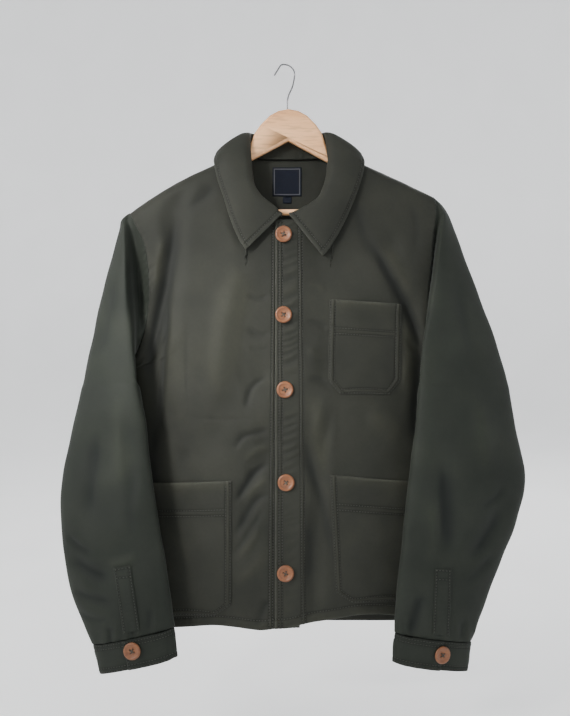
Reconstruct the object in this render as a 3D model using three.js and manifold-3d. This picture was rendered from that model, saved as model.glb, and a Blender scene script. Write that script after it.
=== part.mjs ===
// A button-front chore jacket hanging on a flat wooden hanger with a wire hook.
// Millimetres, +Z up. The jacket faces -Y and +X is to the right as it is seen from the front.
// The origin is the inside of the top of the hook, where the hanger is hung up.
//
// The jacket is worked out as one sewn skin: a front and back worked from depth tables, and two sleeves
// worked as sections down the arm. The skin is then parted at its seams, and each panel gets the
// thickness of its cloth. Pockets, straps and labels take their form from the panel they lie on.

import * as THREE from "three";
import { mergeVertices } from "three/addons/utils/BufferGeometryUtils.js";
import Module from "manifold-3d";

const wasm = await Module();
wasm.setup();

// Cloth
const CLOTH = 1.6; // moleskin with its seam allowances
const COLLAR_CLOTH = 2.2; // two layers and a stiffener
const CUFF_CLOTH = 2.4;
const POCKET_CLOTH = 1.4;
const LABEL_CLOTH = 1;
const SEAM = 0.5; // between panels at a seam
const LIFT = 0.85; // between a panel and what is sewn flat on it
const LAY = 0.35; // between a panel and a label that lies flat on it
const CUFF_SEAM = 0.8; // between a sleeve and its cuff
const COLLAR_SEAM = 0.8; // between the neckline and the collar's stand

// Body
const NECK_X = 72; // half the neck, to where collar and shoulder seam meet
const FRONT_NECK_Z = -227;
const BACK_NECK_Z = -132.5;
const OVERLAP_EDGE_X = -17; // free edge of the front that lies on top
const UNDERLAP_EDGE_X = 18;
const OVERLAP_LIFT = 3; // of the upper front, over the lower one
const OVERLAP_EASE = [20, 42]; // where, going outwards, the upper front comes down again
const BODY_ROUND = 0.72; // 1 a parabola from side to side, less is fuller at the sides
const SHOULDER_ROUND = 26; // how far below the shoulder line the cloth has turned to hang down
const UNDERARM_Z = -457;
const UNDERARM_ROW = 0.41; // share of the front's length that lies above the underarm
const BACK_HEM_Z = -814;

// Buttons
const BUTTON_RADIUS = 11.8;
const BUTTON_HIGH = 4.2;
const BUTTON_HOLE_RADIUS = 1.1;
const BUTTON_HOLE_OUT = 2.7;
const BUTTON_GAP = 0.4;

// Hanger
const HANGER_THICK = 12;
const HANGER_BEVEL = 3;
const HANGER_DROP = 4.3; // from the shoulder line down to the wood
const BAR_RADIUS = 4.7;
const BAR_Z = -213;
const BAR_HALF = 186;
const BAR_FIT = 0.35;
const WIRE_RADIUS = 1.2;
const HOOK_TURN = -0.8; // how far the loop of the hook is turned out of the hanger's plane

const COLORS = {
  cloth: 0x3e4038,
  sleeve: 0x3a3d36,
  pocket: 0x42443b,
  button: 0xb9743f,
  label: 0x1c2233,
  wood: 0xd9a877,
  steel: 0x9a9c9e,
};

// Half the neckline, from the centre front to the shoulder seam; x is outwards from the centre.
const FRONT_NECKLINE = [
  { x: -18, z: FRONT_NECK_Z - 0.5 },
  { x: 0, z: FRONT_NECK_Z },
  { x: 28, z: -222 },
  { x: 50, z: -205 },
  { x: 64, z: -178 },
  { x: 71, z: -150 },
];
const BACK_NECKLINE = [
  { x: 60, z: -129.5 },
  { x: 32, z: -132 },
  { x: 0, z: BACK_NECK_Z },
];

// Each side of the jacket as it hangs: the shoulder line from the neck out to its tip, the armhole from
// the tip down to the underarm, and the front hem from the centre out.
const SIDES = {
  left: {
    sign: -1,
    edgeX: -UNDERLAP_EDGE_X,
    shoulder: [
      { x: 0, z: -90 },
      { x: 103, z: -142 },
      { x: 152, z: -165.5 },
      { x: 196, z: -191 },
      { x: 228, z: -213.5 },
    ],
    armhole: [
      { x: 228, z: -213.5 },
      { x: 217, z: -235 },
      { x: 204.5, z: -262 },
      { x: 198, z: -313 },
      { x: 199.5, z: -356 },
      { x: 207, z: -395 },
      { x: 219, z: -420 },
      { x: 236, z: -443 },
      { x: 254, z: UNDERARM_Z },
    ],
    hem: [
      { x: -18, z: -800 },
      { x: 15, z: -801.5 },
      { x: 38, z: -804 },
      { x: 66, z: -801 },
      { x: 102, z: -799 },
      { x: 156, z: -805 },
      { x: 252, z: -808 },
    ],
  },
  right: {
    sign: 1,
    edgeX: OVERLAP_EDGE_X,
    shoulder: [
      { x: 0, z: -88 },
      { x: 110, z: -142 },
      { x: 164, z: -167 },
      { x: 212, z: -190 },
    ],
    armhole: [
      { x: 212, z: -190 },
      { x: 214, z: -215 },
      { x: 211, z: -241 },
      { x: 204.5, z: -312 },
      { x: 201, z: -355 },
      { x: 207, z: -395 },
      { x: 219, z: -420 },
      { x: 236, z: -443 },
      { x: 254, z: UNDERARM_Z },
    ],
    hem: [
      { x: -18, z: -801 },
      { x: 2, z: -799.5 },
      { x: 22, z: -794.5 },
      { x: 63, z: -789 },
      { x: 100, z: -784 },
      { x: 121, z: -784 },
      { x: 150, z: -787 },
      { x: 252, z: -808 },
    ],
  },
};

// How the body fills out on its way down: half its width at the sides, how far the front and the back
// stand off the hanger's plane at the centre, and where the side seam hangs between them.
const BODY = [
  { z: -90, width: 340, front: 15, back: 16, side: 0 },
  { z: -132, width: 335, front: 17, back: 18, side: 0 },
  { z: -190, width: 330, front: 21, back: 19, side: 0 },
  { z: -300, width: 292, front: 26, back: 22, side: 1 },
  { z: -400, width: 266, front: 31, back: 23, side: 6 },
  { z: UNDERARM_Z, width: 254, front: 35, back: 24, side: 8 },
  { z: -520, width: 250, front: 38, back: 24, side: 8 },
  { z: -650, width: 250, front: 43, back: 24, side: 8 },
  { z: -820, width: 252, front: 48, back: 26, side: 8 },
];

// The largest folds: a soft line from one point to the next, pressed in (+) or standing proud (-).
const FRONT_FOLDS = [
  { x0: -160, z0: -205, x1: -170, z1: -305, deep: 6, wide: 13 },
  { x0: -170, z0: -305, x1: -190, z1: -420, deep: 8, wide: 13 },
  { x0: -190, z0: -420, x1: -188, z1: -520, deep: 6, wide: 14 },
  { x0: 149, z0: -271, x1: 176, z1: -350, deep: 5, wide: 11 },
  { x0: 176, z0: -350, x1: 186, z1: -420, deep: 7, wide: 12 },
  { x0: 42, z0: -540, x1: 40, z1: -770, deep: 4, wide: 11 },
  { x0: -22, z0: -530, x1: -72, z1: -680, deep: 3, wide: 13 },
  { x0: -30, z0: -440, x1: -105, z1: -530, deep: 2, wide: 16 },
  { x0: 30, z0: -420, x1: 60, z1: -520, deep: -3, wide: 16 },
];
const BACK_FOLDS = [
  { x0: -150, z0: -230, x1: -172, z1: -420, deep: 6, wide: 16 },
  { x0: 146, z0: -240, x1: 176, z1: -430, deep: 7, wide: 15 },
  { x0: -60, z0: -180, x1: -96, z1: -330, deep: 3, wide: 18 },
  { x0: 52, z0: -520, x1: 74, z1: -790, deep: 5, wide: 17 },
  { x0: -110, z0: -500, x1: -92, z1: -770, deep: 5, wide: 19 },
  { x0: -10, z0: -560, x1: -18, z1: -800, deep: -4, wide: 20 },
];

// The same for the front and the back of each sleeve; x runs to the right here, not outwards.
const SLEEVE_FOLDS = {
  left: {
    front: [
      { x0: -300, z0: -698, x1: -240, z1: -728, deep: 3, wide: 9 },
      { x0: -297, z0: -740, x1: -236, z1: -754, deep: 2.5, wide: 8 },
      { x0: -262, z0: -530, x1: -272, z1: -650, deep: 3, wide: 17 },
      { x0: -186, z0: -560, x1: -214, z1: -650, deep: -3, wide: 15 },
    ],
    back: [
      { x0: -296, z0: -560, x1: -236, z1: -600, deep: 4, wide: 12 },
      { x0: -290, z0: -650, x1: -226, z1: -690, deep: 3, wide: 10 },
      { x0: -180, z0: -720, x1: -214, z1: -770, deep: 3, wide: 10 },
    ],
  },
  right: {
    front: [
      { x0: 212, z0: -560, x1: 217, z1: -690, deep: 4, wide: 13 },
      { x0: 186, z0: -738, x1: 168, z1: -792, deep: 3, wide: 9 },
      { x0: 296, z0: -636, x1: 254, z1: -700, deep: 3, wide: 12 },
      { x0: 262, z0: -480, x1: 276, z1: -590, deep: -3, wide: 18 },
    ],
    back: [
      { x0: 310, z0: -570, x1: 240, z1: -606, deep: 4, wide: 12 },
      { x0: 286, z0: -650, x1: 212, z1: -680, deep: 3, wide: 10 },
      { x0: 176, z0: -715, x1: 206, z1: -768, deep: 3, wide: 10 },
    ],
  },
};

// Sections down each sleeve. "out" is the outer fold under the end of the shoulder, "fold" the front
// fold nearest the body, "front" and "back" how far the cloth stands off the line between them, and
// "valley" how deep it is tucked between the front fold and the armhole.
const SLEEVES = {
  left: [
    { z: -213.5, outX: 228, outY: 0, foldX: 228, foldY: 0, foldZ: -213.5, front: 0, back: 0, valley: 0 },
    { z: -222, outX: 239.2, outY: 0, foldX: 235, foldY: -8, foldZ: -222, front: 1, back: 8, valley: -8 },
    { z: -237, outX: 242.6, outY: -2, foldX: 233, foldY: -16, foldZ: -237, front: 2, back: 12, valley: -10 },
    { z: -280, outX: 253.5, outY: -5, foldX: 229, foldY: -29, foldZ: -280, front: 4, back: 14, valley: -5 },
    { z: -346, outX: 269, outY: -10, foldX: 223.8, foldY: -41, foldZ: -346, front: 7, back: 18, valley: -4 },
    { z: -380, outX: 275.7, outY: -12, foldX: 218, foldY: -46, foldZ: -380, front: 9, back: 20, valley: -16 },
    { z: -411, outX: 282.2, outY: -13, foldX: 214.3, foldY: -51, foldZ: -411, front: 11, back: 24, valley: -24 },
    { z: -463, outX: 292.5, outY: -15, foldX: 206.4, foldY: -57, foldZ: -463, front: 14, back: 30, valley: -24 },
    { z: -527, outX: 304.8, outY: -22, foldX: 194, foldY: -61, foldZ: -524, front: 18, back: 22, valley: 0 },
    { z: -594, outX: 317.5, outY: -30, foldX: 185, foldY: -65, foldZ: -589, front: 20, back: 20, valley: 0 },
    { z: -652, outX: 316.8, outY: -38, foldX: 176, foldY: -68, foldZ: -645, front: 20, back: 18, valley: 0 },
    { z: -706, outX: 309.6, outY: -45, foldX: 166.5, foldY: -70, foldZ: -695, front: 19, back: 16, valley: 0 },
    { z: -760, outX: 295, outY: -52, foldX: 159.5, foldY: -71, foldZ: -743, front: 18, back: 14, valley: 0 },
    { z: -817.5, outX: 267.5, outY: -60, foldX: 153, foldY: -71, foldZ: -789.5, front: 14, back: 12, valley: 0 },
  ],
  right: [
    { z: -190, outX: 212, outY: 0, foldX: 212, foldY: 0, foldZ: -190, front: 0, back: 0, valley: 0 },
    { z: -203, outX: 226, outY: 0, foldX: 219, foldY: -9, foldZ: -203, front: 1, back: 9, valley: -9 },
    { z: -216.5, outX: 234.8, outY: 0, foldX: 224, foldY: -16, foldZ: -216.5, front: 2, back: 12, valley: -11 },
    { z: -250, outX: 246, outY: -3, foldX: 218, foldY: -27, foldZ: -250, front: 4, back: 14, valley: -9 },
    { z: -308, outX: 267, outY: -7, foldX: 208.5, foldY: -36, foldZ: -308, front: 7, back: 16, valley: -8 },
    { z: -350, outX: 282, outY: -10, foldX: 200.5, foldY: -43, foldZ: -350, front: 9, back: 20, valley: -12 },
    { z: -383, outX: 293.5, outY: -12, foldX: 193, foldY: -48, foldZ: -383, front: 11, back: 22, valley: -22 },
    { z: -411, outX: 303, outY: -13, foldX: 188, foldY: -52, foldZ: -411, front: 12, back: 24, valley: -26 },
    { z: -463, outX: 316.8, outY: -15, foldX: 182, foldY: -57, foldZ: -463, front: 15, back: 30, valley: -24 },
    { z: -527, outX: 325.4, outY: -22, foldX: 176, foldY: -61, foldZ: -524, front: 18, back: 22, valley: 0 },
    { z: -591, outX: 336.4, outY: -30, foldX: 167, foldY: -65, foldZ: -586, front: 20, back: 20, valley: 0 },
    { z: -652, outX: 321.3, outY: -38, foldX: 159.6, foldY: -68, foldZ: -645, front: 20, back: 18, valley: 0 },
    { z: -703, outX: 299.7, outY: -45, foldX: 154.5, foldY: -70, foldZ: -694, front: 19, back: 16, valley: 0 },
    { z: -755, outX: 277, outY: -52, foldX: 148.5, foldY: -71, foldZ: -743, front: 18, back: 14, valley: 0 },
    { z: -813, outX: 253.5, outY: -60, foldX: 145.5, foldY: -71, foldZ: -797, front: 14, back: 12, valley: 0 },
  ],
};

// Cuffs: the lower edge of the band, and where its free end lies on the front.
const CUFFS = {
  left: { outX: 257, outY: -62, outZ: -857, foldX: 148.6, foldY: -71, foldZ: -830, front: 13, back: 11 },
  right: { outX: 248, outY: -62, outZ: -853, foldX: 142, foldY: -71, foldZ: -837, front: 13, back: 11 },
};
const CUFF_START = 55; // degrees round the wrist, 0 at the inner fold and 90 at the front
const CUFF_END = 460;
const CUFF_RISE = [384, 408]; // where the upper end climbs over the lower
const CUFF_LIFT = 3.1;

// The collar, from one front round the neck to the other. "at" is the place along the neckline, 0 at
// the centre front, 1 at the shoulder seam and 2 at the centre back; "arch" is how far the leaf bows.
const COLLAR = {
  left: [
    { at: 0.06, rollX: 7.7, rollY: -30, rollZ: -221.5, edgeX: 58.2, edgeY: -31, edgeZ: -271.6, arch: 1.5 },
    { at: 0.2, rollX: 20.4, rollY: -30, rollZ: -209.9, edgeX: 69, edgeY: -30, edgeZ: -254, arch: 3 },
    { at: 0.34, rollX: 33, rollY: -30, rollZ: -201, edgeX: 80.1, edgeY: -28.5, edgeZ: -226.8, arch: 4 },
    { at: 0.48, rollX: 44, rollY: -29, rollZ: -188.3, edgeX: 89.5, edgeY: -27, edgeZ: -197, arch: 5 },
    { at: 0.62, rollX: 50.3, rollY: -27, rollZ: -173.3, edgeX: 98, edgeY: -24.5, edgeZ: -172, arch: 6 },
    { at: 0.76, rollX: 52.4, rollY: -22, rollZ: -150.6, edgeX: 102.5, edgeY: -19, edgeZ: -153, arch: 8 },
    { at: 0.9, rollX: 54.7, rollY: -14, rollZ: -121.9, edgeX: 104, edgeY: -10, edgeZ: -141, arch: 9 },
    { at: 1, rollX: 54.7, rollY: 0, rollZ: -101, edgeX: 102, edgeY: 3, edgeZ: -137, arch: 10 },
    { at: 1.2, rollX: 51, rollY: 12, rollZ: -98, edgeX: 90, edgeY: 23, edgeZ: -152, arch: 7 },
    { at: 1.5, rollX: 33, rollY: 18, rollZ: -99, edgeX: 52, edgeY: 29, edgeZ: -168, arch: 4 },
  ],
  right: [
    { at: 0.03, rollX: 3.2, rollY: -31, rollZ: -222, edgeX: 50, edgeY: -32, edgeZ: -280.4, arch: 1.5 },
    { at: 0.16, rollX: 15.8, rollY: -31, rollZ: -217.5, edgeX: 62.7, edgeY: -31, edgeZ: -265, arch: 3 },
    { at: 0.32, rollX: 30.3, rollY: -31, rollZ: -210, edgeX: 80.9, edgeY: -28.5, edgeZ: -232, arch: 4 },
    { at: 0.47, rollX: 44.8, rollY: -30, rollZ: -199.7, edgeX: 93, edgeY: -27, edgeZ: -204, arch: 5 },
    { at: 0.6, rollX: 54, rollY: -27, rollZ: -181, edgeX: 103, edgeY: -24.5, edgeZ: -177, arch: 6 },
    { at: 0.72, rollX: 58.7, rollY: -22, rollZ: -160, edgeX: 108.5, edgeY: -19, edgeZ: -157, arch: 8 },
    { at: 0.86, rollX: 60, rollY: -14, rollZ: -132, edgeX: 110, edgeY: -10, edgeZ: -142, arch: 9 },
    { at: 1, rollX: 56, rollY: 0, rollZ: -101, edgeX: 108, edgeY: 3, edgeZ: -138, arch: 10 },
    { at: 1.2, rollX: 51, rollY: 12, rollZ: -98, edgeX: 94, edgeY: 23, edgeZ: -153, arch: 7 },
    { at: 1.5, rollX: 33, rollY: 18, rollZ: -99, edgeX: 54, edgeY: 29, edgeZ: -168, arch: 4 },
  ],
};
const COLLAR_BACK = { at: 2, rollX: 0, rollY: 19, rollZ: -100, edgeX: 0, edgeY: 31, edgeZ: -172, arch: 3 };

// Pockets, straps and labels: rows from the top edge down, each with its left and right end.
const CHEST_POCKET = [
  { leftX: 60, leftZ: -341, rightX: 164, rightZ: -347.4 },
  { leftX: 58.1, leftZ: -456, rightX: 161.7, rightZ: -456.5 },
  { leftX: 73.9, leftZ: -474.8, rightX: 145.3, rightZ: -476 },
];
const LEFT_POCKET = [
  { leftX: -212, leftZ: -604, rightX: -78.1, rightZ: -596.6 },
  { leftX: -212, leftZ: -772, rightX: -77.8, rightZ: -768.8 },
  { leftX: -190, leftZ: -790, rightX: -101, rightZ: -784.3 },
];
const RIGHT_POCKET = [
  { leftX: 60, leftZ: -588, rightX: 212, rightZ: -603 },
  { leftX: 67.4, leftZ: -750, rightX: 212, rightZ: -753 },
  { leftX: 90, leftZ: -766.3, rightX: 190, rightZ: -768.5 },
];
const LEFT_STRAP = [
  { leftX: -234.4, leftZ: -708.3, rightX: -210.7, rightZ: -704 },
  { leftX: -221, leftZ: -796.5, rightX: -198.8, rightZ: -790 },
];
const RIGHT_STRAP = [
  { leftX: 199.5, leftZ: -708, rightX: 222, rightZ: -710 },
  { leftX: 196, leftZ: -795.6, rightX: 219.2, rightZ: -799.8 },
];
const NECK_LABEL = [
  { leftX: -21.3, leftZ: -143.3, rightX: 21.4, rightZ: -143.3 },
  { leftX: -21.3, leftZ: -186, rightX: 21.4, rightZ: -186 },
];
const SIZE_TAB = [
  { leftX: -5.8, leftZ: -186.5, rightX: 6.7, rightZ: -186.5 },
  { leftX: -5.8, leftZ: -196.3, rightX: 6.7, rightZ: -196.3 },
];

const FRONT_BUTTONS = [
  { x: -5, z: -249 },
  { x: -5, z: -363.4 },
  { x: -2.9, z: -468.7 },
  { x: -1.5, z: -598 },
  { x: -2.2, z: -723.4 },
];
const CUFF_BUTTONS = { left: { x: -208.2, z: -818 }, right: { x: 208.5, z: -824.3 } };

// Half the upper edge of the hanger's dome, from the centre out to the arm, and half its lower edge.
const HANGER_DOME = [
  { x: 0, z: -63.5 },
  { x: 14, z: -66 },
  { x: 27, z: -73 },
  { x: 40, z: -86 },
  { x: 48.5, z: -98 },
  { x: 54, z: -114 },
  { x: 61, z: -130 },
];
const HANGER_UNDERSIDE = [
  { x: 206, z: -229 },
  { x: 150, z: -203 },
  { x: 60, z: -141.5 },
  { x: 0, z: -109.3 },
];
const HANGER_CENTRE_X = 2; // the dome hangs a little to the right
const HANGER_CENTRING = [40, 80]; // where, going outwards, the arms are even again
const HANGER_TIP = { x: 208, z: -221 };
const ARM_STEPS = [78, 103, 128, 152, 174, 196];

// The wire of the hook, from the dome up round the loop to its tip.
const HOOK = [
  { x: 0.7, z: -62.6 },
  { x: 0.7, z: -50.3 },
  { x: 2.9, z: -40.7 },
  { x: 7.7, z: -29.1 },
  { x: 10.5, z: -16 },
  { x: 11, z: -5.5 },
  { x: 5.8, z: 0.4 },
  { x: -1, z: 1.2 },
  { x: -8.4, z: -1.2 },
  { x: -12.6, z: -8.7 },
  { x: -18.3, z: -19.6 },
];

const v3 = (x, y, z) => new THREE.Vector3(x, y, z);
const { clamp, lerp, smoothstep } = THREE.MathUtils;

// The value of a table's column where its "by" column has the value "at", on a smooth curve.
function column(rows, by, key, at) {
  const last = rows.length - 1;
  const way = Math.sign(rows[last][by] - rows[0][by]);
  let k = 0;
  while (k < last - 1 && (at - rows[k + 1][by]) * way > 0) k += 1;
  const slopeAt = (i) => {
    const before = rows[Math.max(i - 1, 0)];
    const after = rows[Math.min(i + 1, last)];
    return (after[key] - before[key]) / (after[by] - before[by]);
  };
  const span = rows[k + 1][by] - rows[k][by];
  const t = clamp((at - rows[k][by]) / span, 0, 1);
  const rise = rows[k + 1][key] - rows[k][key];
  const ease = t * t * (3 - 2 * t);
  const tangents = slopeAt(k) * (1 - t) - slopeAt(k + 1) * t;
  return rows[k][key] + rise * ease + span * t * (1 - t) * tangents;
}

const shoulderZ = (side, x) => column(side.shoulder, "x", "z", clamp(x, 0, side.shoulder.at(-1).x));
const sideOf = (x) => (x < 0 ? SIDES.left : SIDES.right);

// How far the folds of a list push the cloth in at a point of the front or back.
function pressed(folds, x, z) {
  return folds.reduce((sum, fold) => {
    const dx = fold.x1 - fold.x0;
    const dz = fold.z1 - fold.z0;
    const along = ((x - fold.x0) * dx + (z - fold.z0) * dz) / (dx * dx + dz * dz);
    const t = clamp(along, 0, 1);
    const off = Math.hypot(x - fold.x0 - t * dx, z - fold.z0 - t * dz);
    return sum + fold.deep * Math.exp(-((off / fold.wide) ** 2));
  }, 0);
}

// The cloth's Y on the front (face "front") or the back (face "back") of the body.
function bodyY(face, x, z) {
  const out = Math.abs(x);
  const low = Math.max(z, BODY.at(-1).z);
  const depth = column(BODY, "z", face, low);
  const width = column(BODY, "z", "width", low);
  const seam = column(BODY, "z", "side", low);
  const round = Math.max(1 - (out / width) ** 2, 0) ** BODY_ROUND;
  const below = clamp((shoulderZ(sideOf(x), out) - z) / SHOULDER_ROUND, 0, 1);
  const turned = Math.sqrt(1 - (1 - below) ** 2);
  const folds = pressed(face === "front" ? FRONT_FOLDS : BACK_FOLDS, x, z);
  const sign = face === "front" ? -1 : 1;
  return seam + (sign * depth - seam) * round * turned - sign * folds * round * turned;
}

// A smooth curve through points, and one through a table's x and z.
const smooth = (points) => new THREE.CatmullRomCurve3(points, false, "centripetal");
const curveOf = (rows) => smooth(rows.map(({ x, z }) => v3(x, 0, z)));

// Shares of the way along each half of the neck, and from there to the shoulder's tip, where they
// lie closer together towards the side.
const FRONT_NECK_SHARES = [0, 0.2, 0.4, 0.6, 0.8];
const BACK_NECK_SHARES = [0, 0.25, 0.5, 0.75];
const SHOULDER_SHARES = Array.from({ length: 9 }, (_, i) => 1 - (1 - i / 8) ** 1.3);

// Shares of the way down, close together where the cloth turns over the shoulder.
const ROWS_ABOVE = [0, 0.007, 0.02, 0.042, 0.075, 0.115, 0.16, 0.21, 0.26, 0.31, 0.355, 0.385, UNDERARM_ROW];
const ROWS_BELOW = Array.from({ length: 10 }, (_, i) => lerp(UNDERARM_ROW, 1, (i + 1) / 10));
const ROWS = [...ROWS_ABOVE, ...ROWS_BELOW];

// The outer edge of a front or back at a share of the way down: the armhole, then the side seam.
function outerEdge(side) {
  const armhole = curveOf(side.armhole);
  const hemZ = side.hem.at(-1).z;
  return (share) => {
    if (share <= UNDERARM_ROW) return armhole.getPointAt(share / UNDERARM_ROW);
    const z = lerp(UNDERARM_Z, hemZ, (share - UNDERARM_ROW) / (1 - UNDERARM_ROW));
    return v3(column(BODY, "z", "width", z), 0, z);
  };
}

function shoulderPoints(side) {
  const tip = side.shoulder.at(-1).x;
  return SHOULDER_SHARES.map((share) => {
    const x = lerp(NECK_X, tip, share);
    return v3(x, 0, shoulderZ(side, x));
  });
}

// A grid of points in the XZ plane between four edges, by the shares of the way across and down.
function between(top, bottom, inner, outer, across, down) {
  return down.map((v, i) =>
    across.map((u, j) => {
      const point = v3(0, 0, 0);
      point.addScaledVector(top[j], 1 - v).addScaledVector(bottom[j], v);
      point.addScaledVector(inner[i], 1 - u).addScaledVector(outer[i], u);
      point.addScaledVector(top[0], -(1 - u) * (1 - v)).addScaledVector(top.at(-1), -u * (1 - v));
      point.addScaledVector(bottom[0], -(1 - u) * v).addScaledVector(bottom.at(-1), -u * v);
      return point;
    }),
  );
}

function frontGrid(side) {
  const { edgeX } = side;
  const neckEnd = { x: NECK_X, z: shoulderZ(side, NECK_X) };
  const neck = curveOf([...FRONT_NECKLINE, neckEnd]);
  const top = [...FRONT_NECK_SHARES.map((share) => neck.getPointAt(share)), ...shoulderPoints(side)];
  top[0].x = edgeX;
  const hemEnd = side.hem.at(-1).x;
  const hemX = [
    ...FRONT_NECK_SHARES.map((share) => lerp(edgeX, NECK_X, share)),
    ...SHOULDER_SHARES.map((share) => lerp(NECK_X, hemEnd, share)),
  ];
  const bottom = hemX.map((x) => v3(x, 0, column(side.hem, "x", "z", x)));
  const inner = ROWS.map((v) => v3(edgeX, 0, lerp(top[0].z, bottom[0].z, v)));
  const outer = ROWS.map(outerEdge(side));
  const across = hemX.map((x) => (x - edgeX) / (hemEnd - edgeX));
  return between(top, bottom, inner, outer, across, ROWS).map((row) =>
    row.map((point) => {
      const x = point.x * side.sign;
      const lift = side.sign > 0 ? OVERLAP_LIFT * (1 - smoothstep(x, ...OVERLAP_EASE)) : 0;
      return v3(x, bodyY("front", x, point.z) - lift, point.z);
    }),
  );
}

function backGrid() {
  const halves = ["left", "right"].map((name) => {
    const side = SIDES[name];
    const neckEnd = { x: NECK_X, z: shoulderZ(side, NECK_X) };
    const neck = curveOf([neckEnd, ...BACK_NECKLINE]);
    const hemEnd = side.hem.at(-1).x;
    const neckPoints = BACK_NECK_SHARES.map((share) => neck.getPointAt(1 - share));
    const top = [...neckPoints, ...shoulderPoints(side)];
    const hemX = [
      ...BACK_NECK_SHARES.map((share) => NECK_X * share),
      ...SHOULDER_SHARES.map((share) => lerp(NECK_X, hemEnd, share)),
    ];
    const bottom = hemX.map((x) => v3(x, 0, lerp(BACK_HEM_Z, side.hem.at(-1).z, (x / hemEnd) ** 3)));
    const inner = ROWS.map((v) => v3(0, 0, lerp(BACK_NECK_Z, BACK_HEM_Z, v)));
    const across = hemX.map((x) => x / hemEnd);
    const grid = between(top, bottom, inner, ROWS.map(outerEdge(side)), across, ROWS);
    return grid.map((row) =>
      row.map((point) => {
        const x = point.x * side.sign;
        return v3(x, bodyY("back", x, point.z), point.z);
      }),
    );
  });
  return halves[0].map((row, i) => [...row.toReversed(), ...halves[1][i].slice(1)]);
}

const SLEEVE_SEGMENTS = 20;
const TUBE_ROWS = 13;
const TUBE_TOP_Z = UNDERARM_Z - 12; // where the sleeve has closed to a tube below the underarm

// One closed section of a sleeve or cuff: a flattened oval between its outer and its front fold.
function ovalPoint(side, section, degrees, folds) {
  const angle = THREE.MathUtils.degToRad(degrees);
  const outer = v3(section.outX, section.outY, section.z ?? section.outZ);
  const fold = v3(section.foldX, section.foldY, section.foldZ);
  const chord = fold.clone().sub(outer);
  const forward = v3(chord.y, -chord.x, 0).normalize();
  if (forward.y > 0) forward.negate();
  const bulge = Math.sin(angle) > 0 ? section.front : section.back;
  const point = outer.clone().addScaledVector(chord, (1 + Math.cos(angle)) / 2);
  point.addScaledVector(forward, Math.sin(angle) * bulge);
  point.x *= side.sign;
  if (folds) {
    const list = Math.sin(angle) > 0 ? folds.front : folds.back;
    point.y += Math.sin(angle) * pressed(list, point.x, point.z);
  }
  return point;
}

const SECTION_KEYS = ["outX", "outY", "foldX", "foldY", "foldZ", "front", "back", "valley"];

function sectionAt(rows, z) {
  const section = { z };
  SECTION_KEYS.forEach((key) => {
    section[key] = column(rows, "z", key, z);
  });
  return section;
}

// Points on a smooth curve through key points, with a number of steps from each key to the next.
function along(keys, steps) {
  const curve = smooth(keys);
  const points = [keys[0].clone()];
  steps.forEach((count, k) => {
    for (let i = 1; i <= count; i += 1) points.push(curve.getPoint((k + i / count) / steps.length));
  });
  points[points.length - 1] = keys.at(-1).clone();
  return points;
}

// A section of the sleeve's head, from the armhole on the front round to the armhole on the back.
function headRow(side, rows, frontSeam, backSeam) {
  const section = sectionAt(rows, frontSeam.z);
  const round = [-54, 0, 90, 180, 234];
  const [tuck, fold, middle, outer, behind] = round.map((degrees) => ovalPoint(side, section, degrees));
  const near = frontSeam.clone().lerp(fold, 0.5);
  const valley = v3(lerp(near.x, tuck.x, 0.15), section.valley, near.z);
  const rearY = Math.max(behind.y, lerp(outer.y, backSeam.y, 0.75));
  const rear = v3(lerp(backSeam.x, outer.x, 0.6), rearY, behind.z);
  const keys = [frontSeam, valley, fold, middle, outer, rear, backSeam];
  return along(keys, [2, 3, 5, 5, 3, 2]);
}

function sleeveGrid(name, front, back) {
  const side = SIDES[name];
  const rows = SLEEVES[name];
  const edgeOf = (row) => (side.sign < 0 ? row[0] : row.at(-1));
  const head = ROWS_ABOVE.map((_, i) => {
    const frontSeam = front[i].at(-1);
    const backSeam = edgeOf(back[i]);
    if (i === 0) return Array.from({ length: SLEEVE_SEGMENTS + 1 }, () => frontSeam.clone());
    return headRow(side, rows, frontSeam, backSeam);
  });
  const endZ = rows.at(-1).z;
  const tube = Array.from({ length: TUBE_ROWS }, (_, i) => {
    const section = sectionAt(rows, lerp(TUBE_TOP_Z, endZ, i / (TUBE_ROWS - 1)));
    return Array.from({ length: SLEEVE_SEGMENTS + 1 }, (_, j) => {
      const degrees = -90 + (360 * (j % SLEEVE_SEGMENTS)) / SLEEVE_SEGMENTS;
      return ovalPoint(side, section, degrees, SLEEVE_FOLDS[name]);
    });
  });
  return [...head, ...tube];
}

const CUFF_COLUMNS = 27;

// A cuff is one band, wound round the wrist from its lower end to its upper.
function cuffGrid(name) {
  const side = SIDES[name];
  const top = { ...SLEEVES[name].at(-1) };
  top.z -= CUFF_SEAM;
  top.foldZ -= CUFF_SEAM;
  const low = { ...CUFFS[name], z: CUFFS[name].outZ };
  return [0, 0.5, 1].map((v) => {
    const section = {};
    SECTION_KEYS.concat("z").forEach((key) => {
      section[key] = lerp(top[key], low[key] ?? 0, v);
    });
    const middle = ovalPoint(side, section, 0).lerp(ovalPoint(side, section, 180), 0.5);
    return Array.from({ length: CUFF_COLUMNS + 1 }, (_, j) => {
      const degrees = lerp(CUFF_START, CUFF_END, j / CUFF_COLUMNS);
      const point = ovalPoint(side, section, degrees);
      const lift = CUFF_LIFT * smoothstep(degrees, ...CUFF_RISE);
      const outwards = v3((point.x - middle.x) * 0.3, point.y - middle.y, 0).normalize();
      return point.addScaledVector(outwards, lift);
    });
  });
}

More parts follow.
